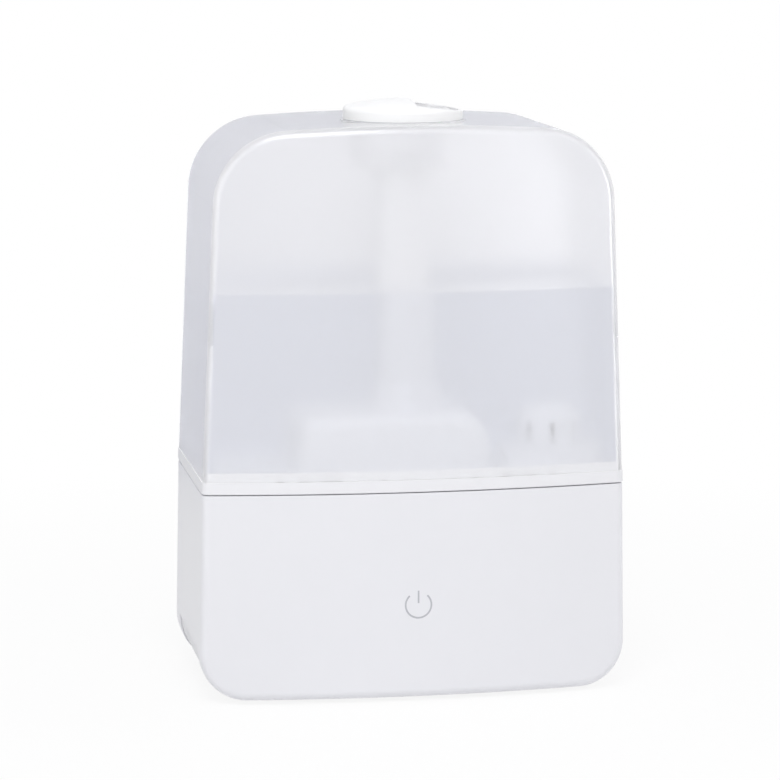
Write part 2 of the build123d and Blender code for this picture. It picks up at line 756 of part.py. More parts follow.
# Basin tray: the water tub with the mist well, air chimney, float post and valve post
tray_flange = layer(base_block(BASE_WALL + FIT_GAP), z_seat - FLANGE, z_seat)
tub_front = front_y(tub_half, BASE_WALL) + TUB_MARGIN
tub_back = DEPTH / 2 - BASE_WALL - TUB_MARGIN
tub_size = (2 * tub_half, tub_back - tub_front)
tub_middle = (0, (tub_back + tub_front) / 2)
with BuildPart() as basin_tray:
    add(tray_flange)
    with BuildSketch(Plane.XY.offset(z_tub_low)):
        with Locations(tub_middle):
            RectangleRounded(*tub_size, TUB_CORNER)
    extrude(amount=z_seat - z_tub_low)
    pillars([(0, y_duct)], WELL_RADIUS + WELL_WALL, z_well_low, z_tub_low)
    pillars(columns, COLUMN_RADIUS, z_boss, z_tub_low)
    with BuildSketch(Plane.XY.offset(z_tub)):
        with Locations(tub_middle):
            RectangleRounded(tub_size[0] - 2 * TUB_WALL, tub_size[1] - 2 * TUB_WALL, TUB_CORNER - TUB_WALL)
    extrude(amount=TUB_DEPTH, mode=Mode.SUBTRACT)
    pillars([(0, y_duct)], WELL_RADIUS, z_well, z_tub, mode=Mode.SUBTRACT)
    with Locations((0, y_duct, z_well_low)):
        with PolarLocations(CLAMP_SCREW_RADIUS, CLAMP_SCREWS):
            Cylinder(CLAMP_EAR, z_well_low - z_gasket_low, align=HUNG)
            Cylinder(small_screw_hole, z_well_low - z_gasket_low, align=HUNG, mode=Mode.SUBTRACT)
    pillars([(0, y_duct)], DISC_WINDOW, z_well_low, z_well, mode=Mode.SUBTRACT)
    pillars(columns, screw_hole, z_boss, z_boss + GRIP, mode=Mode.SUBTRACT)
    with BuildSketch(Plane.XY.offset(z_tub_low)):
        with Locations((fan_x, fan_y)):
            RectangleRounded(
                CHIMNEY_WIDTH + 2 * CHIMNEY_WALL,
                CHIMNEY_DEPTH + 2 * CHIMNEY_WALL,
                CHIMNEY_CORNER + CHIMNEY_WALL,
            )
    extrude(amount=z_seam - z_tub_low)
    with BuildSketch(Plane.XY.offset(z_tub_low)):
        with Locations((fan_x, fan_y)):
            RectangleRounded(CHIMNEY_WIDTH, CHIMNEY_DEPTH, CHIMNEY_CORNER)
    extrude(amount=z_seam - z_tub_low, mode=Mode.SUBTRACT)
    pillars([(float_x, float_y)], FLOAT_SEAT_RADIUS, z_tub, z_float)
    pillars([(float_x, float_y)], FLOAT_POST, z_tub, z_clip)
    pillars([(float_x, float_y)], CLIP_PIN, z_clip, z_clip + CLIP_THICK)
    pillars([(float_x, float_y)], FLOAT_POST_BORE, z_tub_low, z_float + REED_LENGTH, mode=Mode.SUBTRACT)
    with Locations((cap_x, cap_y, z_tub)):
        Cone(VALVE_POST_FOOT, VALVE_POST_TIP, z_stem_tip - VALVE_TIP_GAP - z_tub, align=ON_FLOOR)
basin_tray.part.label = "basin_tray"
export_step(basin_tray.part, "parts/basin_tray.step")

# Mist maker: a disc in a rubber ring, clamped under the well
gasket_radius = DISC_RADIUS + GASKET_WALL
z_disc = z_gasket_low + GASKET_LIP
with BuildPart() as transducer_disc:
    pillars([(0, y_duct)], DISC_RADIUS, z_disc, z_disc + DISC_THICK)
transducer_disc.part.label = "transducer_disc"
export_step(transducer_disc.part, "parts/transducer_disc.step")

with BuildPart() as transducer_gasket:
    pillars([(0, y_duct)], gasket_radius, z_gasket_low, z_well_low)
    pillars([(0, y_duct)], DISC_WINDOW, z_gasket_low, z_well_low, mode=Mode.SUBTRACT)
    pillars([(0, y_duct)], DISC_RADIUS, z_disc, z_disc + DISC_THICK, mode=Mode.SUBTRACT)
transducer_gasket.part.label = "transducer_gasket"
export_step(transducer_gasket.part, "parts/transducer_gasket.step")

with BuildPart() as transducer_clamp:
    with BuildSketch(Plane.XY.offset(z_clamp_low)):
        with Locations((0, y_duct)):
            Circle(gasket_radius)
            with PolarLocations(CLAMP_SCREW_RADIUS / 2, CLAMP_SCREWS):
                Rectangle(CLAMP_SCREW_RADIUS, 2 * CLAMP_EAR)
            with PolarLocations(CLAMP_SCREW_RADIUS, CLAMP_SCREWS):
                Circle(CLAMP_EAR)
                Circle(small_screw_hole, mode=Mode.SUBTRACT)
            Circle(DISC_WINDOW, mode=Mode.SUBTRACT)
    extrude(amount=CLAMP_THICK)
transducer_clamp.part.label = "transducer_clamp"
export_step(transducer_clamp.part, "parts/transducer_clamp.step")

clamp_turns = [2 * pi * step / CLAMP_SCREWS for step in range(CLAMP_SCREWS)]
clamp_circle = [(CLAMP_SCREW_RADIUS * cos(turn), CLAMP_SCREW_RADIUS * sin(turn)) for turn in clamp_turns]
clamp_points = moved(clamp_circle, 0, y_duct)
with BuildPart() as clamp_screws:
    screws(
        clamp_points,
        z_clamp_low,
        SMALL_SCREW_RADIUS,
        SMALL_SCREW_HEAD,
        SMALL_SCREW_HEAD_HEIGHT,
        CLAMP_THICK + z_well_low - z_gasket_low,
        from_below=True,
    )
clamp_screws.part.label = "clamp_screws"
export_step(clamp_screws.part, "parts/clamp_screws.step")

# Float with its magnet, the clip that keeps it on its post, and the switch inside the post
float_axis = [(float_x, float_y)]
float_bore = FLOAT_POST + FIT_GAP
z_ring_top = z_float + RING_MAGNET_HEIGHT
with BuildPart() as float_body:
    pillars(float_axis, FLOAT_RADIUS, z_float, z_float + FLOAT_HEIGHT)
    fillet(float_body.edges(), FLOAT_ROUND)
    pillars(float_axis, float_bore, z_float, z_float + FLOAT_HEIGHT, mode=Mode.SUBTRACT)
    pillars(float_axis, RING_MAGNET_RADIUS + RUN_GAP, z_float, z_ring_top, mode=Mode.SUBTRACT)
float_body.part.label = "float_body"
export_step(float_body.part, "parts/float_body.step")

with BuildPart() as float_magnet:
    pillars(float_axis, RING_MAGNET_RADIUS, z_float, z_ring_top)
    pillars(float_axis, float_bore, z_float, z_ring_top, mode=Mode.SUBTRACT)
float_magnet.part.label = "float_magnet"
export_step(float_magnet.part, "parts/float_magnet.step")

with BuildPart() as float_clip:
    pillars(float_axis, CLIP_RADIUS, z_clip, z_clip + CLIP_THICK)
    pillars(float_axis, CLIP_PIN + RUN_GAP, z_clip, z_clip + CLIP_THICK, mode=Mode.SUBTRACT)
float_clip.part.label = "float_clip"
export_step(float_clip.part, "parts/float_clip.step")

reed_radius = FLOAT_POST_BORE - REED_WALL_GAP
with BuildPart() as reed_switch:
    pillars(float_axis, reed_radius, z_float, z_float + REED_LENGTH)
    fillet(reed_switch.edges().group_by(Axis.Z)[0], reed_radius / 2)
reed_switch.part.label = "reed_switch"
export_step(reed_switch.part, "parts/reed_switch.step")

# Fan: frame with motor plate, bushing, stator and the turning rotor
z_motor = z_fan + FAN_BASE
z_hub_low = z_motor + ROTOR_LIFT
z_hub_top = z_fan_top - ROTOR_LIFT
with BuildPart() as fan_frame:
    with BuildSketch(Plane.XY.offset(z_fan)):
        with Locations((fan_x, fan_y)):
            RectangleRounded(FAN_SIZE, FAN_SIZE, FAN_CORNER)
            Circle(FAN_BORE, mode=Mode.SUBTRACT)
    extrude(amount=FAN_THICK)
    with BuildSketch(Plane.XY.offset(z_fan)):
        with Locations((fan_x, fan_y)):
            Circle(HUB_RADIUS)
            with PolarLocations((FAN_BORE + JOIN) / 2, FAN_SPOKES):
                Rectangle(FAN_BORE + JOIN, FAN_SPOKE_WIDTH)
    extrude(amount=FAN_BASE)
    pillars(fan_holes, screw_hole, z_fan, z_fan_top, mode=Mode.SUBTRACT)
fan_frame.part.label = "fan_frame"
export_step(fan_frame.part, "parts/fan_frame.step")

bushing_bore = SHAFT_RADIUS + RUN_GAP
bushing_radius = bushing_bore + BUSHING_WALL
z_bushing_top = z_hub_top - HUB_WALL - ROTOR_LIFT
with BuildPart() as fan_bushing:
    pillars([(fan_x, fan_y)], bushing_radius, z_motor, z_bushing_top)
    pillars([(fan_x, fan_y)], bushing_bore, z_motor, z_bushing_top, mode=Mode.SUBTRACT)
fan_bushing.part.label = "fan_bushing"
export_step(fan_bushing.part, "parts/fan_bushing.step")

with BuildPart() as fan_stator:
    with BuildSketch(Plane.XY.offset(z_motor)):
        with Locations((fan_x, fan_y)):
            Circle(STATOR_RADIUS)
            with PolarLocations(STATOR_RADIUS, STATOR_POLES, start_angle=45):
                Circle(STATOR_RADIUS / 4, mode=Mode.SUBTRACT)
            Circle(bushing_radius + RUN_GAP, mode=Mode.SUBTRACT)
    extrude(amount=STATOR_HEIGHT)
fan_stator.part.label = "fan_stator"
export_step(fan_stator.part, "parts/fan_stator.step")

blade_z = (z_hub_low + z_hub_top) / 2
hub_bore = HUB_RADIUS - HUB_WALL
with BuildPart() as fan_rotor:
    for blade in range(BLADES):
        turn = 2 * pi * blade / BLADES
        out = Vector(cos(turn), sin(turn), 0)
        along = Vector(-sin(turn), cos(turn), 0)
        for radius, pitch in ((HUB_RADIUS - JOIN, ROOT_PITCH), (BLADE_TIP, TIP_PITCH)):
            origin = Vector(fan_x, fan_y, blade_z) + out * radius
            with BuildSketch(Plane(origin, x_dir=along, z_dir=out)):
                Rectangle(BLADE_CHORD, BLADE_THICK, rotation=pitch)
        loft()
    pillars([(fan_x, fan_y)], HUB_RADIUS, z_hub_low, z_hub_top)
    pillars([(fan_x, fan_y)], hub_bore, z_hub_low, z_hub_top - HUB_WALL, mode=Mode.SUBTRACT)
fan_rotor.part.label = "fan_rotor"
export_step(fan_rotor.part, "parts/fan_rotor.step")

with BuildPart() as rotor_magnet:
    pillars([(fan_x, fan_y)], hub_bore - RUN_GAP, z_hub_low, z_hub_top - HUB_WALL)
    pillars([(fan_x, fan_y)], hub_bore - MAGNET_THICK, z_hub_low, z_hub_top - HUB_WALL, mode=Mode.SUBTRACT)
rotor_magnet.part.label = "rotor_magnet"
export_step(rotor_magnet.part, "parts/rotor_magnet.step")

with BuildPart() as fan_shaft:
    pillars([(fan_x, fan_y)], SHAFT_RADIUS, z_motor, z_hub_top - HUB_WALL)
fan_shaft.part.label = "fan_shaft"
export_step(fan_shaft.part, "parts/fan_shaft.step")

# Air funnel from the fan up into the chimney
z_funnel = z_fan_top + FUNNEL_FLANGE
z_funnel_neck = z_funnel + FUNNEL_RISE
z_funnel_top = z_tub_low + FUNNEL_NECK_LAP
funnel_mouth = 2 * FAN_BORE
neck_width = CHIMNEY_WIDTH - 2 * FIT_GAP
neck_depth = CHIMNEY_DEPTH - 2 * FIT_GAP


def funnel_form(inset, mode):
    """The funnel's hollow or outer form: a square mouth drawn in to a straight neck."""
    mouth = funnel_mouth - 2 * inset
    neck = (neck_width - 2 * inset, neck_depth - 2 * inset)
    corner = CHIMNEY_CORNER - inset
    with BuildSketch(Plane.XY.offset(z_funnel)) as low:
        with Locations((fan_x, fan_y)):
            RectangleRounded(mouth, mouth, FUNNEL_ROUND * mouth)
    with BuildSketch(Plane.XY.offset(z_funnel_neck)) as high:
        with Locations((fan_x, fan_y)):
            RectangleRounded(*neck, corner)
    loft(sections=[low.sketch, high.sketch], mode=mode)
    extrude(high.sketch, amount=z_funnel_top - z_funnel_neck, mode=mode)


with BuildPart() as air_funnel:
    with BuildSketch(Plane.XY.offset(z_fan_top)):
        with Locations((fan_x, fan_y)):
            RectangleRounded(FAN_SIZE, FAN_SIZE, FAN_CORNER)
    extrude(amount=FUNNEL_FLANGE)
    funnel_form(0, Mode.ADD)
    funnel_form(FUNNEL_WALL, Mode.SUBTRACT)
    pillars([(fan_x, fan_y)], FAN_BORE - FUNNEL_WALL, z_fan_top, z_funnel, mode=Mode.SUBTRACT)
    pillars(fan_holes, screw_hole, z_fan_top, z_funnel, mode=Mode.SUBTRACT)
    pillars(fan_holes, SCREW_HEAD + NEST_GAP, z_funnel, z_funnel_neck, mode=Mode.SUBTRACT)
air_funnel.part.label = "air_funnel"
export_step(air_funnel.part, "parts/air_funnel.step")

with BuildPart() as fan_screws:
    screws(
        fan_holes,
        z_funnel,
        SCREW_RADIUS,
        SCREW_HEAD,
        SCREW_HEAD_HEIGHT,
        z_funnel - z_fan + GRIP,
        from_below=False,
    )
fan_screws.part.label = "fan_screws"
export_step(fan_screws.part, "parts/fan_screws.step")

# Main board and what stands on it
board_left = BOARD_X - BOARD_WIDTH / 2
board_front = BOARD_Y - BOARD_DEPTH / 2
with BuildPart() as main_board:
    with BuildSketch(Plane.XY.offset(z_board)):
        with Locations((BOARD_X, BOARD_Y)):
            Rectangle(BOARD_WIDTH, BOARD_DEPTH)
        with Locations(*board_holes):
            Circle(small_screw_hole, mode=Mode.SUBTRACT)
    extrude(amount=BOARD_THICK)
main_board.part.label = "main_board"
export_step(main_board.part, "parts/main_board.step")

with BuildPart() as board_screws:
    screws(
        board_holes,
        z_board_top,
        SMALL_SCREW_RADIUS,
        SMALL_SCREW_HEAD,
        SMALL_SCREW_HEAD_HEIGHT,
        BOARD_THICK + GRIP / 2,
        from_below=False,
    )
board_screws.part.label = "board_screws"
export_step(board_screws.part, "parts/board_screws.step")

sink_x = BOARD_X + HEAT_SINK_PLACE[0]
sink_y = BOARD_Y + HEAT_SINK_PLACE[1]
sink_front = sink_y - HEAT_SINK_DEPTH / 2
fin_pitch = (HEAT_SINK_WIDTH - FIN_THICK) / (HEAT_SINK_FINS - 1)
with BuildPart() as heat_sink:
    with BuildSketch(Plane.XY.offset(z_board_top)):
        with Locations((sink_x, sink_front + HEAT_SINK_WEB / 2)):
            Rectangle(HEAT_SINK_WIDTH, HEAT_SINK_WEB)
        with Locations((sink_x, sink_y)):
            with GridLocations(fin_pitch, fin_pitch, HEAT_SINK_FINS, 1):
                Rectangle(FIN_THICK, HEAT_SINK_DEPTH)
    extrude(amount=HEAT_SINK_HEIGHT)
heat_sink.part.label = "heat_sink"
export_step(heat_sink.part, "parts/heat_sink.step")

with BuildPart() as power_transistor:
    cuboid(
        (sink_x - TRANSISTOR_WIDTH / 2, sink_front - TRANSISTOR_THICK, z_board_top),
        (sink_x + TRANSISTOR_WIDTH / 2, sink_front, z_board_top + TRANSISTOR_HEIGHT),
    )
    chamfer(power_transistor.edges().group_by(Axis.Y)[0].filter_by(Axis.Z), TRANSISTOR_THICK / 5)
power_transistor.part.label = "power_transistor"
export_step(power_transistor.part, "parts/power_transistor.step")

can_points = moved(CAN_PLACES, BOARD_X, BOARD_Y)
with BuildPart() as board_capacitors:
    pillars(can_points, CAN_RADIUS, z_board_top, z_board_top + CAN_HEIGHT)
    fillet(board_capacitors.edges().group_by(Axis.Z)[-1], CAN_RADIUS / 6)
board_capacitors.part.label = "board_capacitors"
export_step(board_capacitors.part, "parts/board_capacitors.step")

coil_x = BOARD_X + COIL_PLACE[0]
coil_y = BOARD_Y + COIL_PLACE[1]
with BuildPart() as drive_coil:
    turned(
        coil_x,
        coil_y,
        [
            (0, z_board_top),
            (COIL_RADIUS, z_board_top),
            (COIL_RADIUS, z_board_top + COIL_FLANGE),
            (COIL_CORE, z_board_top + COIL_FLANGE),
            (COIL_CORE, z_board_top + COIL_HEIGHT - COIL_FLANGE),
            (COIL_RADIUS, z_board_top + COIL_HEIGHT - COIL_FLANGE),
            (COIL_RADIUS, z_board_top + COIL_HEIGHT),
            (0, z_board_top + COIL_HEIGHT),
        ],
    )
drive_coil.part.label = "drive_coil"
export_step(drive_coil.part, "parts/drive_coil.step")

chip_x = BOARD_X + CHIP_PLACE[0]
chip_y = BOARD_Y + CHIP_PLACE[1]
with BuildPart() as control_chip:
    cuboid(
        (chip_x - CHIP_WIDTH / 2, chip_y - CHIP_DEPTH / 2, z_board_top),
        (chip_x + CHIP_WIDTH / 2, chip_y + CHIP_DEPTH / 2, z_board_top + CHIP_HEIGHT),
    )
control_chip.part.label = "control_chip"
export_step(control_chip.part, "parts/control_chip.step")

mist_plug = (board_left + MIST_PLUG_PLACE[0], board_front + MIST_PLUG_PLACE[1])
fan_plug = (board_left + CONNECTOR_WIDTH / 2 + PLUG_MARGIN, board_front + FAN_PLUG_Y)
touch_plug = (BOARD_X + TOUCH_PLUG_X, board_front + CONNECTOR_DEPTH / 2 + PLUG_MARGIN)
jack_plug = (INLET_X, board_front + BOARD_DEPTH - CONNECTOR_DEPTH / 2 - JACK_PLUG_INSET)
z_plug_middle = z_board_top + CONNECTOR_HEIGHT / 2
z_plug_top = z_board_top + CONNECTOR_HEIGHT
with BuildPart() as board_connectors:
    with Locations(*[(x, y, z_board_top) for x, y in (mist_plug, fan_plug, touch_plug, jack_plug)]):
        Box(CONNECTOR_WIDTH, CONNECTOR_DEPTH, CONNECTOR_HEIGHT, align=ON_FLOOR)
board_connectors.part.label = "board_connectors"
export_step(board_connectors.part, "parts/board_connectors.step")

# Touch board behind the power sign, with its spring electrode and lamp
y_touch_back = y_touch + BOARD_THICK
with BuildPart() as touch_board:
    with BuildSketch(Plane.XZ.offset(-y_touch)):
        with Locations((0, SYMBOL_Z)):
            Rectangle(TOUCH_WIDTH, TOUCH_HEIGHT)
        with Locations(*touch_holes):
            Circle(small_screw_hole, mode=Mode.SUBTRACT)
    extrude(amount=-BOARD_THICK)
touch_board.part.label = "touch_board"
export_step(touch_board.part, "parts/touch_board.step")

with BuildPart() as touch_screws:
    with BuildSketch(Plane.XZ.offset(-y_touch_back)):
        with Locations(*touch_holes):
            Circle(SMALL_SCREW_RADIUS)
    extrude(amount=BOARD_THICK + TOUCH_GAP * 3 / 4)
    with BuildSketch(Plane.XZ.offset(-y_touch_back)):
        with Locations(*touch_holes):
            Circle(SMALL_SCREW_HEAD)
    extrude(amount=-SMALL_SCREW_HEAD_HEIGHT)
touch_screws.part.label = "touch_screws"
export_step(touch_screws.part, "parts/touch_screws.step")

touch_frame = Plane((0, y_touch, SYMBOL_Z), x_dir=(1, 0, 0), z_dir=(0, -1, 0))
touch_spring = coil_spring(touch_frame, TOUCH_COIL_RADIUS, TOUCH_WIRE, TOUCH_GAP, TOUCH_COIL_TURNS)
touch_spring.part.label = "touch_spring"
export_step(touch_spring.part, "parts/touch_spring.step")

z_lamp = SYMBOL_Z + LAMP_RISE
with BuildPart() as indicator_lamp:
    cuboid(
        (-LAMP_WIDTH / 2, y_touch - LAMP_LENGTH, z_lamp - LAMP_WIDTH / 2),
        (LAMP_WIDTH / 2, y_touch, z_lamp + LAMP_WIDTH / 2),
    )
    fillet(indicator_lamp.edges().group_by(Axis.Y)[0], LAMP_WIDTH / 5)
indicator_lamp.part.label = "indicator_lamp"
export_step(indicator_lamp.part, "parts/indicator_lamp.step")

# Power jack behind the inlet collar
with BuildPart() as power_jack:
    cuboid(
        (INLET_X - JACK_SIZE / 2, jack_back, INLET_Z - JACK_SIZE / 2),
        (INLET_X + JACK_SIZE / 2, inlet_face, INLET_Z + JACK_SIZE / 2),
    )
    with BuildSketch(Plane.XZ.offset(-inlet_face)):
        with Locations((INLET_X, INLET_Z)):
            Circle(JACK_BORE)
            Circle(JACK_PIN, mode=Mode.SUBTRACT)
    extrude(amount=JACK_BORE_DEPTH, mode=Mode.SUBTRACT)
    with BuildSketch(Plane.XZ.offset(-inlet_face)):
        with Locations((INLET_X, INLET_Z)):
            Circle(JACK_BORE)
    extrude(amount=JACK_PIN, mode=Mode.SUBTRACT)
power_jack.part.label = "power_jack"
export_step(power_jack.part, "parts/power_jack.step")

# Leads inside the base
jack_lead = lead(
    [
        (INLET_X, jack_back, INLET_Z),
        (INLET_X, jack_plug[1], INLET_Z),
        (INLET_X, jack_plug[1], z_plug_top),
    ]
)
jack_lead.part.label = "jack_lead"
export_step(jack_lead.part, "parts/jack_lead.step")

fan_side = fan_x + FAN_SIZE / 2
z_fan_middle = (z_fan + z_fan_top) / 2
fan_lead = lead(
    [
        (fan_side, fan_plug[1], z_fan_middle),
        (fan_side + LEAD_STUB, fan_plug[1], z_fan_middle),
        (fan_plug[0] - CONNECTOR_WIDTH / 2 - LEAD_STUB, fan_plug[1], z_plug_middle),
        (fan_plug[0] - CONNECTOR_WIDTH / 2, fan_plug[1], z_plug_middle),
    ]
)
fan_lead.part.label = "fan_lead"
export_step(fan_lead.part, "parts/fan_lead.step")

transducer_lead = lead(
    [
        (0, y_duct, z_disc),
        (0, y_duct, z_disc - MIST_LEAD_STUB),
        (mist_plug[0], mist_plug[1], z_plug_top + MIST_LEAD_STUB),
        (mist_plug[0], mist_plug[1], z_plug_top),
    ]
)
transducer_lead.part.label = "transducer_lead"
export_step(transducer_lead.part, "parts/transducer_lead.step")

touch_exit = SYMBOL_Z - TOUCH_HEIGHT / 4
touch_lead = lead(
    [
        (TOUCH_HOLE_X / 2, y_touch_back, touch_exit),
        (TOUCH_HOLE_X / 2, y_touch_back + LEAD_STUB, touch_exit),
        (touch_plug[0], touch_plug[1] - CONNECTOR_DEPTH / 2 - LEAD_STUB, z_plug_middle),
        (touch_plug[0], touch_plug[1] - CONNECTOR_DEPTH / 2, z_plug_middle),
    ]
)
touch_lead.part.label = "touch_lead"
export_step(touch_lead.part, "parts/touch_lead.step")


# Tank floor: white rim, locating skirt, mist chamber and filler neck
def chamber_block(inset, z_low):
    """The mist chamber's form, smaller by inset, standing from z_low."""
    left = -CHAMBER_LEFT + inset
    right = CHAMBER_RIGHT - inset
    top = z_chamber - inset
    front = y_duct - CHAMBER_FRONT + inset
    back = y_duct + CHAMBER_BACK - inset
    with BuildPart() as block:
        with BuildSketch(Plane.XZ.offset(-back)) as outline:
            with BuildLine():
                Polyline(
                    (left, z_low),
                    (right, z_low),
                    (right - CHAMBER_DRAFT, top),
                    (left + CHAMBER_DRAFT, top),
                    close=True,
                )
            make_face()
            high = outline.vertices().group_by(Axis.Y)[-1].sort_by(Axis.X)
            fillet(high[0], CHAMBER_LEFT_ROUND - inset)
            fillet(outline.vertices().sort_by(Axis.X)[-2], CHAMBER_RIGHT_ROUND - inset)
        extrude(amount=back - front)
        faces = block.faces().sort_by(Axis.Y)
        rims = faces[0].edges() + faces[-1].edges()
        fillet([edge for edge in rims if edge.center().Z > z_low + JOIN], CHAMBER_EDGE_ROUND - inset)
    return block.part


rim_plate = layer(tank_block(-RIM_PROUD), z_rim, z_floor)
rim_hollow = layer(tank_block(RIM_WALL), z_rim - JOIN, z_floor - FLOOR_THICK)
skirt = band(tank_block, SKIRT_INSET, SKIRT_INSET + SKIRT_WALL, z_seat, z_floor - FLOOR_THICK + JOIN)
weld_rib = band(tank_block, TANK_WALL + NEST_GAP, RIM_WALL, z_floor - JOIN, z_floor + WELD_RIB)
chamber_outer = chamber_block(0, z_floor - FLOOR_THICK)
chamber_inner = chamber_block(CHAMBER_WALL, z_rim)
with BuildPart() as tank_floor:
    add(rim_plate)
    add(rim_hollow, mode=Mode.SUBTRACT)
    chamfer(
        tank_floor.faces().filter_by(Axis.Z).sort_by(Axis.Z)[0].outer_wire().edges(),
        SEAM_BEVEL,
    )
    add(skirt)
    add(weld_rib)
    add(chamber_outer)
    pillars([(cap_x, cap_y)], pocket_bore + CHAMBER_WALL, z_floor - FLOOR_THICK, z_pocket)
    add(chamber_inner, mode=Mode.SUBTRACT)
    pillars([(cap_x, cap_y)], pocket_bore, z_rim, z_pocket_low, mode=Mode.SUBTRACT)
    pillars([(cap_x, cap_y)], neck_radius, z_neck_end, z_pocket)
    lugs(cap_x, cap_y, neck_radius - JOIN, LUG_REACH + JOIN, z_neck_lug)
    pillars([(cap_x, cap_y)], NECK_BORE, z_neck_end, z_pocket, mode=Mode.SUBTRACT)
    pillars([(0, y_duct)], duct_hole, z_chamber - 2 * CHAMBER_WALL, z_chamber, mode=Mode.SUBTRACT)
tank_floor.part.label = "tank_floor"
export_step(tank_floor.part, "parts/tank_floor.step")

# Tank shell with the cup that takes the mist outlet
tank_outer = tank_block()
tank_inner = tank_block(TANK_WALL)
with BuildPart() as tank_shell:
    add(tank_outer)
    add(tank_inner, mode=Mode.SUBTRACT)
    split(bisect_by=Plane.XY.offset(z_floor), keep=Keep.TOP)
    pillars([(0, y_duct)], PAD_RADIUS, z_top - TANK_WALL, z_top)
    pillars([(0, y_duct)], CUP_RADIUS + CUP_WALL, z_cup - CUP_WALL, z_top - TANK_WALL)
    pillars([(0, y_duct)], CUP_RADIUS, z_cup, z_top, mode=Mode.SUBTRACT)
    pillars([(0, y_duct)], duct_hole, z_cup - CUP_WALL, z_cup, mode=Mode.SUBTRACT)
tank_shell.part.label = "tank_shell"
export_step(tank_shell.part, "parts/tank_shell.step")

with BuildPart() as mist_duct:
    turned(
        0,
        y_duct,
        [
            (DUCT_RADIUS - DUCT_WALL, z_chamber - CHAMBER_WALL),
            (DUCT_RADIUS, z_chamber - CHAMBER_WALL),
            (DUCT_RADIUS, z_chamber),
            (DUCT_RADIUS + DUCT_FLARE, z_chamber),
            (DUCT_RADIUS, z_chamber + DUCT_FLARE_HEIGHT),
            (DUCT_RADIUS, z_duct_top),
            (DUCT_RADIUS - DUCT_WALL, z_duct_top),
        ],
    )
mist_duct.part.label = "mist_duct"
export_step(mist_duct.part, "parts/mist_duct.step")

with BuildPart() as duct_seal:
    pillars([(0, y_duct)], DUCT_RADIUS + SEAL_WALL, z_cup, z_cup + SEAL_HEIGHT)
    pillars([(0, y_duct)], DUCT_RADIUS + RUN_GAP, z_cup, z_cup + SEAL_HEIGHT, mode=Mode.SUBTRACT)
duct_seal.part.label = "duct_seal"
export_step(duct_seal.part, "parts/duct_seal.step")

# Filler cap: bayonet cap with seal, strainer dome and water valve
with BuildPart() as filler_cap:
    pillars([(cap_x, cap_y)], cap_radius, z_cap_low, z_cap_top)
    pillars([(cap_x, cap_y)], cap_bore, z_cap_plate, z_cap_top, mode=Mode.SUBTRACT)
    chamfer(filler_cap.edges().group_by(Axis.Z)[0], SEAM_BEVEL)
    lugs(cap_x, cap_y, neck_radius + FIT_GAP, cap_bore - neck_radius - FIT_GAP + JOIN, z_cap_lug)
    with Locations((cap_x - GRIP_RADIUS, cap_y, z_cap_low), (cap_x + GRIP_RADIUS, cap_y, z_cap_low)):
        Box(GRIP_WIDTH, GRIP_LENGTH, GRIP_DROP, align=HUNG)
    pillars([(cap_x, cap_y)], VALVE_PORT, z_cap_low, z_cap_plate, mode=Mode.SUBTRACT)
filler_cap.part.label = "filler_cap"
export_step(filler_cap.part, "parts/filler_cap.step")

with BuildPart() as cap_seal:
    pillars([(cap_x, cap_y)], cap_bore - FIT_GAP, z_cap_plate, z_neck_end)
    pillars([(cap_x, cap_y)], NECK_BORE + SEAL_BITE, z_cap_plate, z_neck_end, mode=Mode.SUBTRACT)
cap_seal.part.label = "cap_seal"
export_step(cap_seal.part, "parts/cap_seal.step")

z_strainer = z_cap_plate + STRAINER_RISE
with BuildPart() as intake_strainer:
    pillars([(cap_x, cap_y)], STRAINER_RADIUS, z_cap_plate, z_strainer)
    fillet(intake_strainer.edges().group_by(Axis.Z)[-1], STRAINER_ROUND)
    offset(amount=-STRAINER_WALL, openings=intake_strainer.faces().sort_by(Axis.Z)[0])
    pillars([(cap_x, cap_y)], STRAINER_RADIUS - STRAINER_WALL + JOIN, z_guide, z_guide + GUIDE_THICK)
    pillars([(cap_x, cap_y)], VALVE_GUIDE + FIT_GAP, z_guide, z_guide + GUIDE_THICK, mode=Mode.SUBTRACT)
    with Locations((cap_x, cap_y, z_guide)):
        with PolarLocations(GUIDE_HOLE_CIRCLE, GUIDE_HOLES):
            Cylinder(GUIDE_HOLE, GUIDE_THICK, align=ON_FLOOR, mode=Mode.SUBTRACT)
    with Locations((cap_x, cap_y, z_cap_plate + STRAINER_SLOT_LOW)):
        with PolarLocations(STRAINER_RADIUS, STRAINER_SLOTS):
            Box(
                4 * STRAINER_WALL,
                STRAINER_SLOT,
                STRAINER_SLOT_HIGH - STRAINER_SLOT_LOW,
                align=ON_FLOOR,
                mode=Mode.SUBTRACT,
            )
intake_strainer.part.label = "intake_strainer"
export_step(intake_strainer.part, "parts/intake_strainer.step")

with BuildPart() as valve_plunger:
    pillars([(cap_x, cap_y)], VALVE_STEM, z_stem_tip, z_valve_disc)
    pillars([(cap_x, cap_y)], VALVE_DISC, z_valve_disc, z_valve_top)
    pillars([(cap_x, cap_y)], VALVE_GUIDE, z_valve_top, z_guide + GUIDE_THICK + VALVE_TRAVEL)
valve_plunger.part.label = "valve_plunger"
export_step(valve_plunger.part, "parts/valve_plunger.step")

with BuildPart() as valve_washer:
    pillars([(cap_x, cap_y)], VALVE_DISC, z_washer, z_valve_disc)
    pillars([(cap_x, cap_y)], VALVE_STEM + RUN_GAP, z_washer, z_valve_disc, mode=Mode.SUBTRACT)
valve_washer.part.label = "valve_washer"
export_step(valve_washer.part, "parts/valve_washer.step")

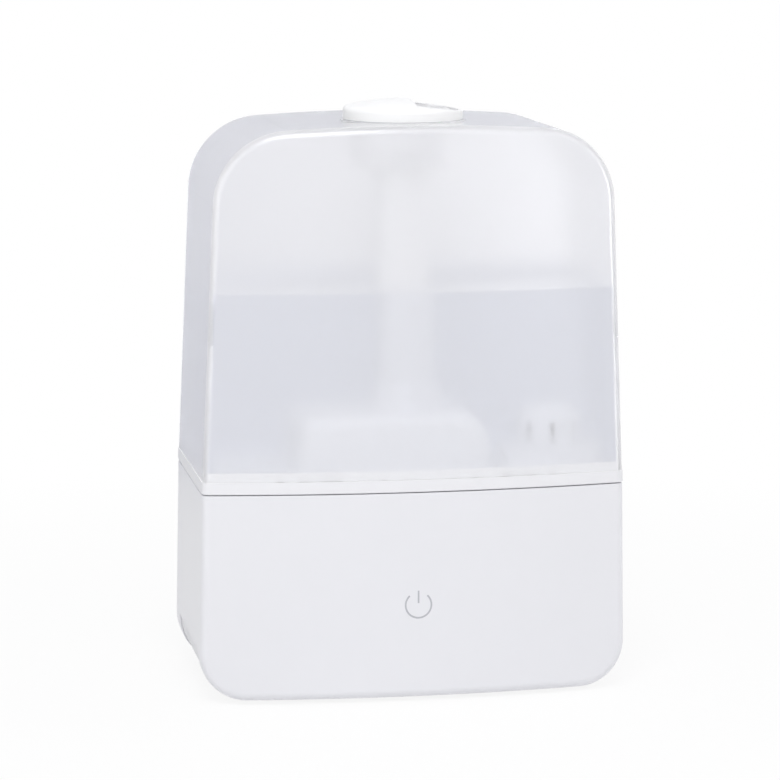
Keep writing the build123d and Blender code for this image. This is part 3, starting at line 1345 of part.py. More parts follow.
valve_frame = Plane((cap_x, cap_y, z_valve_top), x_dir=(1, 0, 0), z_dir=(0, 0, 1))
valve_room = z_guide - z_valve_top
valve_spring = coil_spring(valve_frame, VALVE_COIL_RADIUS, VALVE_WIRE, valve_room, VALVE_COIL_TURNS)
valve_spring.part.label = "valve_spring"
export_step(valve_spring.part, "parts/valve_spring.step")

# Mist outlet: a collar that plugs into the tank and a domed cap that turns on it, sliced open on one side
collar_bore = collar_radius - COLLAR_WALL
neck_bore = COLLAR_NECK - COLLAR_WALL
z_ring_seal = z_top - RING_SEAL_BELOW
ring_seal_circle = CUP_RADIUS - RUN_GAP - RING_SEAL_RADIUS
z_baffle = z_top - BAFFLE_BELOW
with BuildPart() as nozzle_collar:
    turned(
        0,
        y_duct,
        [
            (collar_bore, z_top - COLLAR_LENGTH),
            (collar_radius, z_top - COLLAR_LENGTH),
            (collar_radius, z_top),
            (COLLAR_FLANGE_RADIUS, z_top),
            (COLLAR_FLANGE_RADIUS, z_collar),
            (COLLAR_NECK, z_collar),
            (COLLAR_NECK, z_collar + COLLAR_NECK_RISE),
            (neck_bore, z_collar + COLLAR_NECK_RISE),
            (neck_bore, z_top),
            (collar_bore, z_top),
        ],
    )
    with Locations((0, y_duct, z_ring_seal)):
        Torus(ring_seal_circle, RING_SEAL_RADIUS + RUN_GAP, mode=Mode.SUBTRACT)
nozzle_collar.part.label = "nozzle_collar"
export_step(nozzle_collar.part, "parts/nozzle_collar.step")

with BuildPart() as collar_seal:
    with Locations((0, y_duct, z_ring_seal)):
        Torus(ring_seal_circle, RING_SEAL_RADIUS)
collar_seal.part.label = "collar_seal"
export_step(collar_seal.part, "parts/collar_seal.step")

with BuildPart() as drip_baffle:
    with BuildSketch(Plane.XY.offset(z_baffle)):
        with Locations((0, y_duct)):
            Circle(collar_bore - RUN_GAP)
            Circle(collar_bore - BAFFLE_RIM, mode=Mode.SUBTRACT)
            Circle(BAFFLE_DISC)
            with PolarLocations((collar_bore - RUN_GAP) / 2, BAFFLE_ARMS):
                Rectangle(collar_bore - BAFFLE_RIM, BAFFLE_ARM_WIDTH)
    extrude(amount=BAFFLE_THICK)
drip_baffle.part.label = "drip_baffle"
export_step(drip_baffle.part, "parts/drip_baffle.step")


def dome(radius, ball):
    """A round block under a shallow ball."""
    with BuildPart() as block:
        pillars([(0, y_duct)], radius, z_skirt, z_nozzle)
        with Locations((0, y_duct, z_nozzle - DOME_RADIUS)):
            Sphere(ball, mode=Mode.INTERSECT)
    return block.part


dome_outer = dome(NOZZLE_RADIUS, DOME_RADIUS)
dome_inner = dome(NOZZLE_RADIUS - NOZZLE_WALL, DOME_RADIUS - NOZZLE_WALL)
turn_ring = turn_ring_bore + TURN_RING_WALL
mouth_start = Location((MOUTH_OFFSET, y_duct, z_nozzle - MOUTH_DROP), (0, MOUTH_SLOPE, 0))
with BuildPart() as nozzle_hollow:
    add(dome_inner)
    pillars([(0, y_duct)], turn_ring, z_collar, z_nozzle, mode=Mode.SUBTRACT)
with BuildPart() as nozzle_bore:
    add(dome_inner)
    pillars([(0, y_duct)], turn_ring_bore, z_skirt, z_nozzle, mode=Mode.INTERSECT)
with BuildPart() as nozzle_cap:
    add(dome_outer)
    fillet(nozzle_cap.faces().sort_by(Axis.Z)[-1].edges(), DOME_ROUND)
    with Locations(mouth_start):
        Box(
            2 * NOZZLE_RADIUS,
            2 * NOZZLE_RADIUS,
            NOZZLE_RISE,
            align=(Align.MIN, Align.CENTER, Align.MIN),
            mode=Mode.SUBTRACT,
        )
    sliced = nozzle_cap.faces().filter_by(GeomType.PLANE).sort_by(Axis.Z)[-2]
    fillet(sliced.outer_wire().edges(), MOUTH_ROUND)
    add(nozzle_hollow.part, mode=Mode.SUBTRACT)
    add(nozzle_bore.part, mode=Mode.SUBTRACT)
nozzle_cap.part.label = "nozzle_cap"
export_step(nozzle_cap.part, "parts/nozzle_cap.step")
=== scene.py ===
# %% [markdown]
# # A cool mist humidifier
#
# A frosted water tank stands on a white base. The base hides a fan and a mist maker, and the mist leaves
# through the turning outlet on top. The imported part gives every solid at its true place, in metres, so this
# lesson is about looks: finishes for each solid, the water in the tank, light and camera.

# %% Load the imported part
import json
import math

import bmesh
import bpy
from mathutils import Matrix, Vector


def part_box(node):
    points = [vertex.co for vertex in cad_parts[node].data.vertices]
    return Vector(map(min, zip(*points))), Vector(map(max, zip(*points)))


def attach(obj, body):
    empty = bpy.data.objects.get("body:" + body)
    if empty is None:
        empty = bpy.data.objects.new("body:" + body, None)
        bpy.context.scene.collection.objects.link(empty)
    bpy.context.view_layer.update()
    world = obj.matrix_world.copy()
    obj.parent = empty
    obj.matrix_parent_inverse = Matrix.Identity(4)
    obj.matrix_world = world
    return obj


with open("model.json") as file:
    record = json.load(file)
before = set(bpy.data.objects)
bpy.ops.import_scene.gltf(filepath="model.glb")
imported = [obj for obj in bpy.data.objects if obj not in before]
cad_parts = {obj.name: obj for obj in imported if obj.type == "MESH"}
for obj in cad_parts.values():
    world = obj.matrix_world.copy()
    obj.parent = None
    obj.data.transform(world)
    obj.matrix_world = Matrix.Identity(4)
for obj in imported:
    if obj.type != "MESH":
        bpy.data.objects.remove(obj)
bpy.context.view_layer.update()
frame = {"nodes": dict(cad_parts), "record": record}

scene = bpy.context.scene
nodes = frame["nodes"]

# %% [markdown]
# ## Camera
#
# The camera comes first, because every look is judged through it. A long lens from about a metre and a half
# keeps the upright edges nearly parallel. The camera stands a little to the left of the middle and looks
# slightly down, with a trace of roll. Turning it by three named angles is easier to adjust than a target.

# %% Camera
EYE = Vector((-0.27347, -1.49080, 0.37798))
YAW = 0.17892  # to the right, in radians
PITCH = 0.15780  # down
ROLL = 0.0022
LENS = 150.70  # in millimetres, as is the sensor
SENSOR = 36.0
VIEW_DEPTH = 50.0

bpy.ops.object.select_all(action="DESELECT")
bpy.ops.object.camera_add(location=EYE)
camera = bpy.context.object
turn = Matrix.Rotation(-YAW, 4, "Z")
tip = Matrix.Rotation(math.pi / 2 - PITCH, 4, "X")
look = turn @ tip @ Matrix.Rotation(ROLL, 4, "Z")
camera.matrix_world = Matrix.Translation(EYE) @ look
camera.data.lens = LENS
camera.data.sensor_width = SENSOR
camera.data.clip_end = VIEW_DEPTH
scene.camera = camera
scene.view_settings.view_transform = "Standard"
print("camera", [round(x, 3) for x in camera.location])

# %% [markdown]
# ## Node helpers
#
# Materials are built in nodes. Three small helpers keep each recipe short: one adds a node and fills in its
# sockets, one links pairs of sockets, and one starts a group that several finishes can share.


# %% Node helpers
def add_node(tree, kind, label, values=None, **settings):
    """A node of that kind with its settings and plain socket values."""
    node = tree.nodes.new(kind)
    node.label = label
    for name, value in settings.items():
        setattr(node, name, value)
    for socket, value in (values or {}).items():
        node.inputs[socket].default_value = value
    return node


def wire(tree, *pairs):
    """Links (output, input) pairs."""
    for source, target in pairs:
        tree.links.new(source, target)


# A Mix node lists sockets for every kind of data; these are the colour ones
FACTOR, COLOUR_A, COLOUR_B, COLOUR_RESULT = 0, 6, 7, 2


def new_group(name, inputs, outputs):
    """An empty shader group with its named sockets."""
    group = bpy.data.node_groups.new(name, "ShaderNodeTree")
    for title, kind, value in inputs:
        socket = group.interface.new_socket(title, in_out="INPUT", socket_type=kind)
        if value is not None:
            socket.default_value = value
    for title, kind in outputs:
        group.interface.new_socket(title, in_out="OUTPUT", socket_type=kind)
    start = group.nodes.new("NodeGroupInput")
    end = group.nodes.new("NodeGroupOutput")
    return group, start, end


# %% [markdown]
# ## What moulded surfaces share
#
# A moulded plastic face is never one flat colour. The tool leaves a fine spark-eroded grain, the resin cools
# with faint cloudy drifts in tone, and hands leave slightly smoother patches. One group makes all three from
# a position, so each finish only chooses sizes and amounts.

# %% Moulded surface group
moulded, start, end = new_group(
    "moulded_surface",
    [
        ("Position", "NodeSocketVector", None),
        ("Colour", "NodeSocketColor", (0.8, 0.8, 0.8, 1)),
        ("Drift Colour", "NodeSocketColor", (0.7, 0.7, 0.7, 1)),
        ("Roughness", "NodeSocketFloat", 0.4),
        ("Roughness Drift", "NodeSocketFloat", 0.05),
        ("Grain Scale", "NodeSocketFloat", 1800.0),
        ("Cloud Scale", "NodeSocketFloat", 25.0),
    ],
    [("Colour", "NodeSocketColor"), ("Roughness", "NodeSocketFloat"), ("Height", "NodeSocketFloat")],
)
cloud = add_node(moulded, "ShaderNodeTexNoise", "cooling drift", {"Detail": 3.0, "Roughness": 0.5})
hands = add_node(moulded, "ShaderNodeTexNoise", "handling", {"Scale": 60.0, "Detail": 4.0, "Roughness": 0.6})
grain = add_node(moulded, "ShaderNodeTexNoise", "spark grain", {"Detail": 2.0, "Roughness": 0.55})
tint = add_node(moulded, "ShaderNodeMix", "tone", data_type="RGBA")
spread = add_node(moulded, "ShaderNodeMath", "handling about zero", {1: 0.5}, operation="SUBTRACT")
scaled = add_node(moulded, "ShaderNodeMath", "handling amount", operation="MULTIPLY")
total = add_node(moulded, "ShaderNodeMath", "roughness", operation="ADD")
wire(
    moulded,
    (start.outputs["Position"], cloud.inputs["Vector"]),
    (start.outputs["Position"], hands.inputs["Vector"]),
    (start.outputs["Position"], grain.inputs["Vector"]),
    (start.outputs["Cloud Scale"], cloud.inputs["Scale"]),
    (start.outputs["Grain Scale"], grain.inputs["Scale"]),
    (cloud.outputs["Fac"], tint.inputs[FACTOR]),
    (start.outputs["Colour"], tint.inputs[COLOUR_A]),
    (start.outputs["Drift Colour"], tint.inputs[COLOUR_B]),
    (hands.outputs["Fac"], spread.inputs[0]),
    (spread.outputs[0], scaled.inputs[0]),
    (start.outputs["Roughness Drift"], scaled.inputs[1]),
    (scaled.outputs[0], total.inputs[0]),
    (start.outputs["Roughness"], total.inputs[1]),
    (tint.outputs[COLOUR_RESULT], end.inputs["Colour"]),
    (total.outputs[0], end.inputs["Roughness"]),
    (grain.outputs["Fac"], end.inputs["Height"]),
)
print("group", moulded.name, len(moulded.nodes), "nodes")

# %% [markdown]
# ## What turned and rolled metal shares
#
# Small steel, brass and aluminium pieces show fine parallel lines from the tool that cut them. A noise that
# is stretched along one direction gives those lines, and a slow noise dulls them here and there.

# %% Worked metal group
LINE_ROUGHNESS = 0.16  # what the tool lines add at most
worked, start, end = new_group(
    "worked_metal",
    [
        ("Position", "NodeSocketVector", None),
        ("Colour", "NodeSocketColor", (0.6, 0.6, 0.6, 1)),
        ("Dull Colour", "NodeSocketColor", (0.5, 0.5, 0.5, 1)),
        ("Roughness", "NodeSocketFloat", 0.3),
        ("Stretch", "NodeSocketVector", (400.0, 400.0, 4000.0)),
    ],
    [("Colour", "NodeSocketColor"), ("Roughness", "NodeSocketFloat"), ("Height", "NodeSocketFloat")],
)
drawn = add_node(worked, "ShaderNodeVectorMath", "stretch", operation="MULTIPLY")
lines = add_node(worked, "ShaderNodeTexNoise", "tool lines", {"Scale": 1.0, "Detail": 3.0})
dull = add_node(worked, "ShaderNodeTexNoise", "dulling", {"Scale": 180.0, "Detail": 3.0})
tone = add_node(worked, "ShaderNodeMix", "tone", data_type="RGBA")
gloss = add_node(worked, "ShaderNodeMath", "line roughness", {1: LINE_ROUGHNESS}, operation="MULTIPLY")
rough = add_node(worked, "ShaderNodeMath", "roughness", operation="ADD")
wire(
    worked,
    (start.outputs["Position"], drawn.inputs[0]),
    (start.outputs["Stretch"], drawn.inputs[1]),
    (drawn.outputs[0], lines.inputs["Vector"]),
    (start.outputs["Position"], dull.inputs["Vector"]),
    (dull.outputs["Fac"], tone.inputs[FACTOR]),
    (start.outputs["Colour"], tone.inputs[COLOUR_A]),
    (start.outputs["Dull Colour"], tone.inputs[COLOUR_B]),
    (lines.outputs["Fac"], gloss.inputs[0]),
    (gloss.outputs[0], rough.inputs[0]),
    (start.outputs["Roughness"], rough.inputs[1]),
    (tone.outputs[COLOUR_RESULT], end.inputs["Colour"]),
    (rough.outputs[0], end.inputs["Roughness"]),
    (lines.outputs["Fac"], end.inputs["Height"]),
)
print("group", worked.name, len(worked.nodes), "nodes")

# %% [markdown]
# ## Finishes
#
# Each finish is one Principled shader fed by a shared group. Numbers that are the same all over go straight
# onto the shader's own sockets. Colours are about the ones such pieces have under neutral light, so the part
# also looks right in another scene. Three pieces break that with painted light: the tank floor's inside and
# the strainer behind the frosting, and the outlet, each a lighter white, as their own cells say.
#
# A frosted wall, water and a thin white dome also pass light on to what is behind them. A renderer finds such
# light only by chance, so what is inside would stay dark and grainy. The last helper lets lamp light and
# bounced light go straight through with a tint, while the camera still sees the full shader. Each kind of ray
# has its own Mix Shader, with the ray's socket linked straight to its factor.


# %% Finish recipe
METAL_RELIEF = 0.2


def finish(name, group, values, relief, shader):
    """A material: a surface group for colour, roughness and relief, and a shader with plain values."""
    material = bpy.data.materials.new(name)
    material.use_nodes = True
    tree = material.node_tree
    tree.nodes.clear()
    place = add_node(tree, "ShaderNodeTexCoord", "place")
    surface = add_node(tree, "ShaderNodeGroup", "surface", node_tree=group)
    for socket, value in values.items():
        surface.inputs[socket].default_value = value
    strength, distance = relief
    bump = add_node(tree, "ShaderNodeBump", "relief", {"Strength": strength, "Distance": distance})
    body = add_node(tree, "ShaderNodeBsdfPrincipled", "body", shader)
    out = add_node(tree, "ShaderNodeOutputMaterial", "out")
    wire(
        tree,
        (place.outputs["Object"], surface.inputs["Position"]),
        (surface.outputs["Colour"], body.inputs["Base Color"]),
        (surface.outputs["Roughness"], body.inputs["Roughness"]),
        (surface.outputs["Height"], bump.inputs["Height"]),
        (bump.outputs["Normal"], body.inputs["Normal"]),
        (body.outputs["BSDF"], out.inputs["Surface"]),
    )
    return material


def plastic(
    name, colour, drift, rough, grain=1800.0, depth=0.00002, strength=0.15, rough_drift=0.06, **shader
):
    """A moulded plastic or rubber; further names are the shader's own sockets."""
    values = {
        "Colour": (*colour, 1),
        "Drift Colour": (*drift, 1),
        "Roughness": rough,
        "Roughness Drift": rough_drift,
        "Grain Scale": grain,
    }
    sockets = {key.replace("_", " "): value for key, value in shader.items()}
    return finish(name, moulded, values, (strength, depth), sockets)


def metal(name, colour, dull_colour, rough, stretch=(400.0, 400.0, 4000.0), depth=0.00002):
    """A worked metal."""
    values = {
        "Colour": (*colour, 1),
        "Dull Colour": (*dull_colour, 1),
        "Roughness": rough,
        "Stretch": stretch,
    }
    return finish(name, worked, values, (METAL_RELIEF, depth), {"Metallic": 1.0})


def let_light_in(material, tint):
    """Lamp light and bounced light go straight through, tinted, so what is inside is lit."""
    tree = material.node_tree
    shader = next(node for node in tree.nodes if node.label == "body").outputs["BSDF"]
    out = next(node for node in tree.nodes if node.label == "out")
    path = add_node(tree, "ShaderNodeLightPath", "ray")
    through = add_node(tree, "ShaderNodeBsdfTransparent", "straight through", {"Color": (*tint, 1)})
    for ray in ("Is Shadow Ray", "Is Diffuse Ray"):
        choose = add_node(tree, "ShaderNodeMixShader", ray)
        wire(
            tree,
            (path.outputs[ray], choose.inputs["Fac"]),
            (shader, choose.inputs[1]),
            (through.outputs["BSDF"], choose.inputs[2]),
        )
        shader = choose.outputs["Shader"]
    wire(tree, (shader, out.inputs["Surface"]))


# %% [markdown]
# ## White plastics
#
# The case is smooth ABS with a satin gloss. Pieces inside the tank and under the base are the same resin with
# a duller, coarser moulded face. All are a white that leans a little to blue.

# %% White plastics
looks = {}
looks["white_plastic"] = plastic(
    "satin_white_case", (0.825, 0.825, 0.855), (0.805, 0.805, 0.838), 0.36, grain=2400.0, strength=0.06,
    Coat_Weight=0.12, Coat_Roughness=0.25,
)
looks["cover_white"] = plastic(
    "matt_white_cover", (0.83, 0.83, 0.85), (0.79, 0.79, 0.815), 0.55, grain=1500.0, strength=0.25,
)
looks["inner_white"] = plastic(
    "matt_white_inner", (0.845, 0.845, 0.865), (0.835, 0.835, 0.857), 0.48, grain=1800.0, strength=0.12,
)
looks["connector_ivory"] = plastic("ivory_plug", (0.82, 0.79, 0.70), (0.78, 0.75, 0.66), 0.5)
print("white finishes", len(looks))

# %% [markdown]
# ## Frosted tank
#
# The tank is clear plastic with a fine matt face, so it passes most light but blurs what stands behind it.
# Roughness on a transmitting shader does exactly that: the wall's two faces scatter each ray a little, near
# pieces stay readable and far ones melt into the white. A part of the shader stays milky, and a smoother coat
# on top gives the rounded edges their bright line.

# %% Frosted tank
looks["frosted_plastic"] = plastic(
    "frosted_tank", (0.885, 0.885, 0.905), (0.875, 0.876, 0.897), 0.32, grain=2600.0, strength=0.10,
    rough_drift=0.04, Transmission_Weight=0.65, IOR=1.3, Specular_IOR_Level=0.3, Coat_Weight=0.8,
    Coat_Roughness=0.2,
)
let_light_in(looks["frosted_plastic"], (0.97, 0.97, 0.97))
print("frosted tank")

# %% [markdown]
# ## Dark and soft pieces
#
# Feet and seals are rubber, the fan and jack are black nylon, and the board carries its usual parts. They
# sit inside the base or under it, so the moulded recipe serves them all with coarser grain for rubber and
# foam, a coat for lacquered sleeves, and clear glass for the switch.

# %% Dark and soft plastics
looks["grey_print"] = plastic("grey_sign", (0.50, 0.50, 0.54), (0.47, 0.47, 0.51), 0.5, grain=3000.0)
looks["foot_rubber"] = plastic(
    "grey_foot_rubber", (0.40, 0.40, 0.42), (0.35, 0.35, 0.37), 0.78, grain=900.0, strength=0.4,
)
looks["silicone"] = plastic(
    "milky_silicone", (0.78, 0.80, 0.82), (0.74, 0.76, 0.79), 0.45,
    Subsurface_Weight=0.2, Subsurface_Scale=0.001,
)
looks["black_plastic"] = plastic(
    "black_nylon", (0.025, 0.025, 0.03), (0.035, 0.035, 0.04), 0.5, grain=1400.0, strength=0.3,
)
looks["lead_black"] = plastic("black_lead", (0.02, 0.02, 0.022), (0.03, 0.03, 0.032), 0.55)
looks["lead_grey"] = plastic("grey_lead", (0.30, 0.30, 0.32), (0.26, 0.26, 0.28), 0.55)
looks["float_foam"] = plastic(
    "pale_float", (0.68, 0.77, 0.86), (0.63, 0.73, 0.83), 0.7, grain=700.0, strength=0.5,
)
looks["lamp_lens"] = plastic("lamp_lens", (0.78, 0.87, 0.98), (0.74, 0.84, 0.97), 0.25, Coat_Weight=0.5)
looks["can_blue"] = plastic("capacitor_sleeve", (0.06, 0.08, 0.19), (0.05, 0.07, 0.16), 0.35, Coat_Weight=0.3)
looks["ferrite"] = plastic(
    "ferrite", (0.10, 0.10, 0.11), (0.07, 0.07, 0.075), 0.6, grain=1200.0, strength=0.35,
)
looks["reed_glass"] = plastic(
    "reed_glass", (0.80, 0.90, 0.84), (0.78, 0.88, 0.82), 0.05, rough_drift=0.01,
    Transmission_Weight=0.9, IOR=1.47,
)
print("finishes so far", len(looks))

# %% [markdown]
# ## Metals
#
# Screws, the fan's bush and coil, the heat sink and the mist disc are bare metal. They differ in colour and
# in which way their tool lines run, so each only gives the shared recipe its own colours and stretch.

# %% Metals
looks["steel"] = metal("zinc_steel", (0.64, 0.64, 0.66), (0.55, 0.55, 0.56), 0.28)
looks["disc_metal"] = metal(
    "silvered_disc", (0.80, 0.79, 0.76), (0.72, 0.71, 0.68), 0.22, (3000.0, 300.0, 300.0),
)
looks["brass"] = metal("turned_brass", (0.72, 0.54, 0.26), (0.62, 0.45, 0.21), 0.25)
looks["copper"] = metal(
    "wound_copper", (0.72, 0.38, 0.18), (0.58, 0.28, 0.13), 0.35, (300.0, 300.0, 9000.0), 0.0001,
)
looks["aluminium"] = metal(
    "extruded_aluminium", (0.72, 0.72, 0.74), (0.63, 0.63, 0.65), 0.34, (4000.0, 4000.0, 200.0),
)
print("finishes so far", len(looks))

# %% [markdown]
# ## Circuit boards
#
# A board is glass fibre under green lacquer. Copper runs show through the lacquer as slightly raised, paler
# lines, here the edges of a brick pattern, which run along and across as real ones do.

# %% Board finish
lacquer = bpy.data.materials.new("green_board")
lacquer.use_nodes = True
tree = lacquer.node_tree
tree.nodes.clear()
place = add_node(tree, "ShaderNodeTexCoord", "place")
runs = add_node(
    tree, "ShaderNodeTexBrick", "copper runs",
    {"Scale": 120.0, "Mortar Size": 0.05, "Mortar Smooth": 0.1, "Brick Width": 1.3, "Row Height": 0.45,
     "Color1": (0.035, 0.19, 0.09, 1), "Color2": (0.045, 0.22, 0.10, 1), "Mortar": (0.10, 0.34, 0.16, 1)},
)
relief = add_node(tree, "ShaderNodeBump", "run height", {"Strength": 0.4, "Distance": 0.00005})
body = add_node(tree, "ShaderNodeBsdfPrincipled", "body", {"Roughness": 0.3, "Coat Weight": 0.4})
out = add_node(tree, "ShaderNodeOutputMaterial", "out")
wire(
    tree,
    (place.outputs["Object"], runs.inputs["Vector"]),
    (runs.outputs["Color"], body.inputs["Base Color"]),
    (runs.outputs["Fac"], relief.inputs["Height"]),
    (relief.outputs["Normal"], body.inputs["Normal"]),
    (body.outputs["BSDF"], out.inputs["Surface"]),
)
looks["board_green"] = lacquer
print("board runs")

# %% [markdown]
# ## Dress the solids
#
# The record says which finish slot each solid belongs to. Every solid is right as it stands, so it only takes
# its finish.

# %% Dress the solids
for part in frame["record"]["subparts"]:
    solid = nodes[part["node"]]
    solid.data.materials.clear()
    solid.data.materials.append(looks[part["material_slot"]])

# %% [markdown]
# ## Tank floor and strainer
#
# The tank floor shows twice: its rim stands in the open as a band at the tank's foot, and its raised chamber
# shows through frosting and water, as the strainer does. What is behind the frosting loses light on the way.
# To make up for that, the floor above the rim and the strainer take a lighter white than the rim, which is
# painted light, though the real pieces are likely one resin. The floor is one solid, so its finish changes
# from the rim's white to the painted light white by height.

# %% Tank floor and strainer
RIM_TOP = 0.1036  # the floor's upper face is just above
RIM_WHITE = (0.835, 0.835, 0.86)
# The white for the floor above the rim and for the strainer is painted light: lighter than the rim, to make
# up for light lost behind the frosting.
PAINTED_LIGHT_WHITE = (0.95, 0.95, 0.96)
PAINTED_LIGHT_DRIFT = (0.935, 0.935, 0.95)
painted_light_inner = plastic("painted_light_white_inner", PAINTED_LIGHT_WHITE, PAINTED_LIGHT_DRIFT, 0.6, grain=1800.0, strength=0.12)
nodes["intake_strainer"].data.materials[0] = painted_light_inner
painted_light_floor = plastic("tank_floor_painted_light", PAINTED_LIGHT_WHITE, PAINTED_LIGHT_WHITE, 0.5, grain=1800.0, strength=0.12)
tree = painted_light_floor.node_tree
place = next(node for node in tree.nodes if node.label == "place")
surface = next(node for node in tree.nodes if node.label == "surface")
parts = add_node(tree, "ShaderNodeSeparateXYZ", "height")
inside = add_node(tree, "ShaderNodeMath", "above the rim", {1: RIM_TOP}, operation="GREATER_THAN")
tone = add_node(
    tree, "ShaderNodeMix", "rim or inside",
    {COLOUR_A: (*RIM_WHITE, 1), COLOUR_B: (*PAINTED_LIGHT_WHITE, 1)},
    data_type="RGBA",
)
wire(
    tree,
    (place.outputs["Object"], parts.inputs[0]),
    (parts.outputs["Z"], inside.inputs[0]),
    (inside.outputs[0], tone.inputs[FACTOR]),
    (tone.outputs[COLOUR_RESULT], surface.inputs["Colour"]),
    (tone.outputs[COLOUR_RESULT], surface.inputs["Drift Colour"]),
)
nodes["tank_floor"].data.materials[0] = painted_light_floor
print("floor changes tone at", RIM_TOP)

# %% [markdown]
# ## Mist outlet
#
# The outlet is the brightest piece. It is the case's white plastic, but takes a lighter white than the case,
# which is painted light. It is also a thin white dome that light shines through a little. Scattering under
# the surface softens its shading, and letting some light through lifts the inside of its mouth.

# %% Mist outlet
# A lighter white than the case's: painted light.
outlet = plastic(
    "painted_light_outlet", (0.925, 0.925, 0.93), (0.915, 0.915, 0.922), 0.5, grain=2400.0, strength=0.05,
    Subsurface_Weight=0.3, Subsurface_Scale=0.003, Subsurface_Radius=(1.0, 1.0, 1.0), Specular_IOR_Level=0.25,
)
let_light_in(outlet, (0.85, 0.85, 0.85))
nodes["nozzle_cap"].data.materials[0] = outlet
print("outlet", outlet.name)

# %% [markdown]
# ## Modelling helpers
#
# Operators act on all that is selected, so each step starts with nothing selected and then picks points,
# edges or faces by where they are. Two more helpers end a step: one cuts a tool out of a piece, the other
# names a finished piece and puts its place into its mesh.


# %% Modelling helpers
def deselect():
    """Object mode with nothing selected."""
    if bpy.context.mode != "OBJECT":
        bpy.ops.object.mode_set(mode="OBJECT")
    bpy.ops.object.select_all(action="DESELECT")


def pick(piece, kind, test):
    """In edit mode, selects the points, edges or faces whose middle passes the test."""
    bpy.ops.mesh.select_mode(type=kind)
    bpy.ops.mesh.select_all(action="DESELECT")
    mesh = bmesh.from_edit_mesh(piece.data)
    if kind == "VERT":
        found = [(point, point.co) for point in mesh.verts]
    elif kind == "EDGE":
        found = [(edge, (edge.verts[0].co + edge.verts[1].co) / 2) for edge in mesh.edges]
    else:
        found = [(face, face.calc_center_median()) for face in mesh.faces]
    chosen = 0
    for element, middle in found:
        if test(element, middle):
            element.select_set(True)
            chosen += 1
    mesh.select_flush_mode()
    bmesh.update_edit_mesh(piece.data)
    return chosen


def rise(edge):
    """How far an edge climbs."""
    return abs(edge.verts[0].co.z - edge.verts[1].co.z)


def settle(piece, name):
    """Names a finished piece and puts its place into its mesh."""
    deselect()
    piece.select_set(True)
    bpy.context.view_layer.objects.active = piece
    bpy.ops.object.transform_apply(location=True, rotation=True, scale=True)
    piece.name = name
    piece.data.name = name


def cut_away(piece, cutter):
    """Subtracts the cutter from the piece and removes the cutter."""
    deselect()
    piece.select_set(True)
    bpy.context.view_layer.objects.active = piece
    trim = piece.modifiers.new("cut", "BOOLEAN")
    trim.operation = "DIFFERENCE"
    trim.solver = "MANIFOLD"
    trim.object = cutter
    bpy.ops.object.modifier_apply(modifier=trim.name)
    bpy.data.objects.remove(cutter)


# %% [markdown]
# ## Water
#
# The tank is a bit over half full. The water follows the wall all round, which is why its edge reads sharply
# through the frosting. It is modelled as by hand: one point is spun into the bulging front line, the line's
# ends are drawn to the back, the outline is filled and pulled up, and two leaning cuts give the sides.

# %% Water block
WALL = 0.0022
FILM = 0.0001  # left free between the water and the wall
BOW_RADIUS = 0.5756  # of the bulging front
SIDE_LEAN = math.atan(0.0427)
CORNER = 0.0018
WATER_LINE = 0.1893
RIB_TOP = 0.1079  # a low rib stands inside the wall
RIB = 0.0021
TANK_FLOOR = 0.1037
OVERSHOOT = 0.005  # past the wall, until the sides are cut
FRONT_STEPS = 40
CORNER_STEPS = 4
AT_POINT = 1e-5  # how near counts as the same place
UPRIGHT = 0.05  # an edge that climbs more is a corner of the block
SHARP = 0.5  # and its faces meet at more than this angle
shell_low, shell_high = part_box("tank_shell")
bow_middle = shell_low.y + BOW_RADIUS
bow = BOW_RADIUS - WALL - FILM
water_back = shell_high.y - WALL - FILM
reach = shell_high.x + OVERSHOOT
swing = math.asin(reach / bow)
arc_end = bow_middle - bow * math.cos(swing)

deselect()
bpy.ops.mesh.primitive_plane_add(size=0.01)
water = bpy.context.object
bpy.ops.object.mode_set(mode="EDIT")
bpy.ops.mesh.select_all(action="SELECT")
bpy.ops.mesh.merge(type="CENTER")
bpy.ops.transform.translate(value=(-reach, arc_end, RIB_TOP))
bpy.ops.mesh.spin(steps=FRONT_STEPS, angle=2 * swing, center=(0, bow_middle, RIB_TOP), axis=(0, 0, -1))
pick(water, "VERT", lambda point, middle: abs(abs(middle.x) - reach) < AT_POINT)
bpy.ops.mesh.extrude_region_move(TRANSFORM_OT_translate={"value": (0, water_back - arc_end, 0)})
bpy.ops.mesh.select_all(action="SELECT")
bpy.ops.mesh.edge_face_add()
bpy.ops.mesh.extrude_region_move(TRANSFORM_OT_translate={"value": (0, 0, WATER_LINE - RIB_TOP)})
side_inset = (WALL + FILM) / math.cos(SIDE_LEAN)
for side in (-1, 1):
    bpy.ops.mesh.select_all(action="SELECT")
    bpy.ops.mesh.bisect(
        plane_co=(side * (shell_high.x - side_inset), 0, shell_low.z),
        plane_no=(side * math.cos(SIDE_LEAN), 0, math.sin(SIDE_LEAN)),
        use_fill=True,
        clear_outer=True,
    )
corners = pick(
    water, "EDGE", lambda edge, middle: rise(edge) > UPRIGHT and edge.calc_face_angle(0.0) > SHARP,
)
bpy.ops.mesh.bevel(offset=CORNER, segments=CORNER_STEPS, affect="EDGES")
bpy.ops.object.mode_set(mode="OBJECT")
print("water corners", corners, [round(v, 4) for v in water.dimensions])

# %% [markdown]
# Beside a low rib the tank is narrower, so the bottom face is inset and pulled down to the floor. At the top,
# water climbs the wall by half a millimetre. Two insets, each let down a little, give that curved edge.

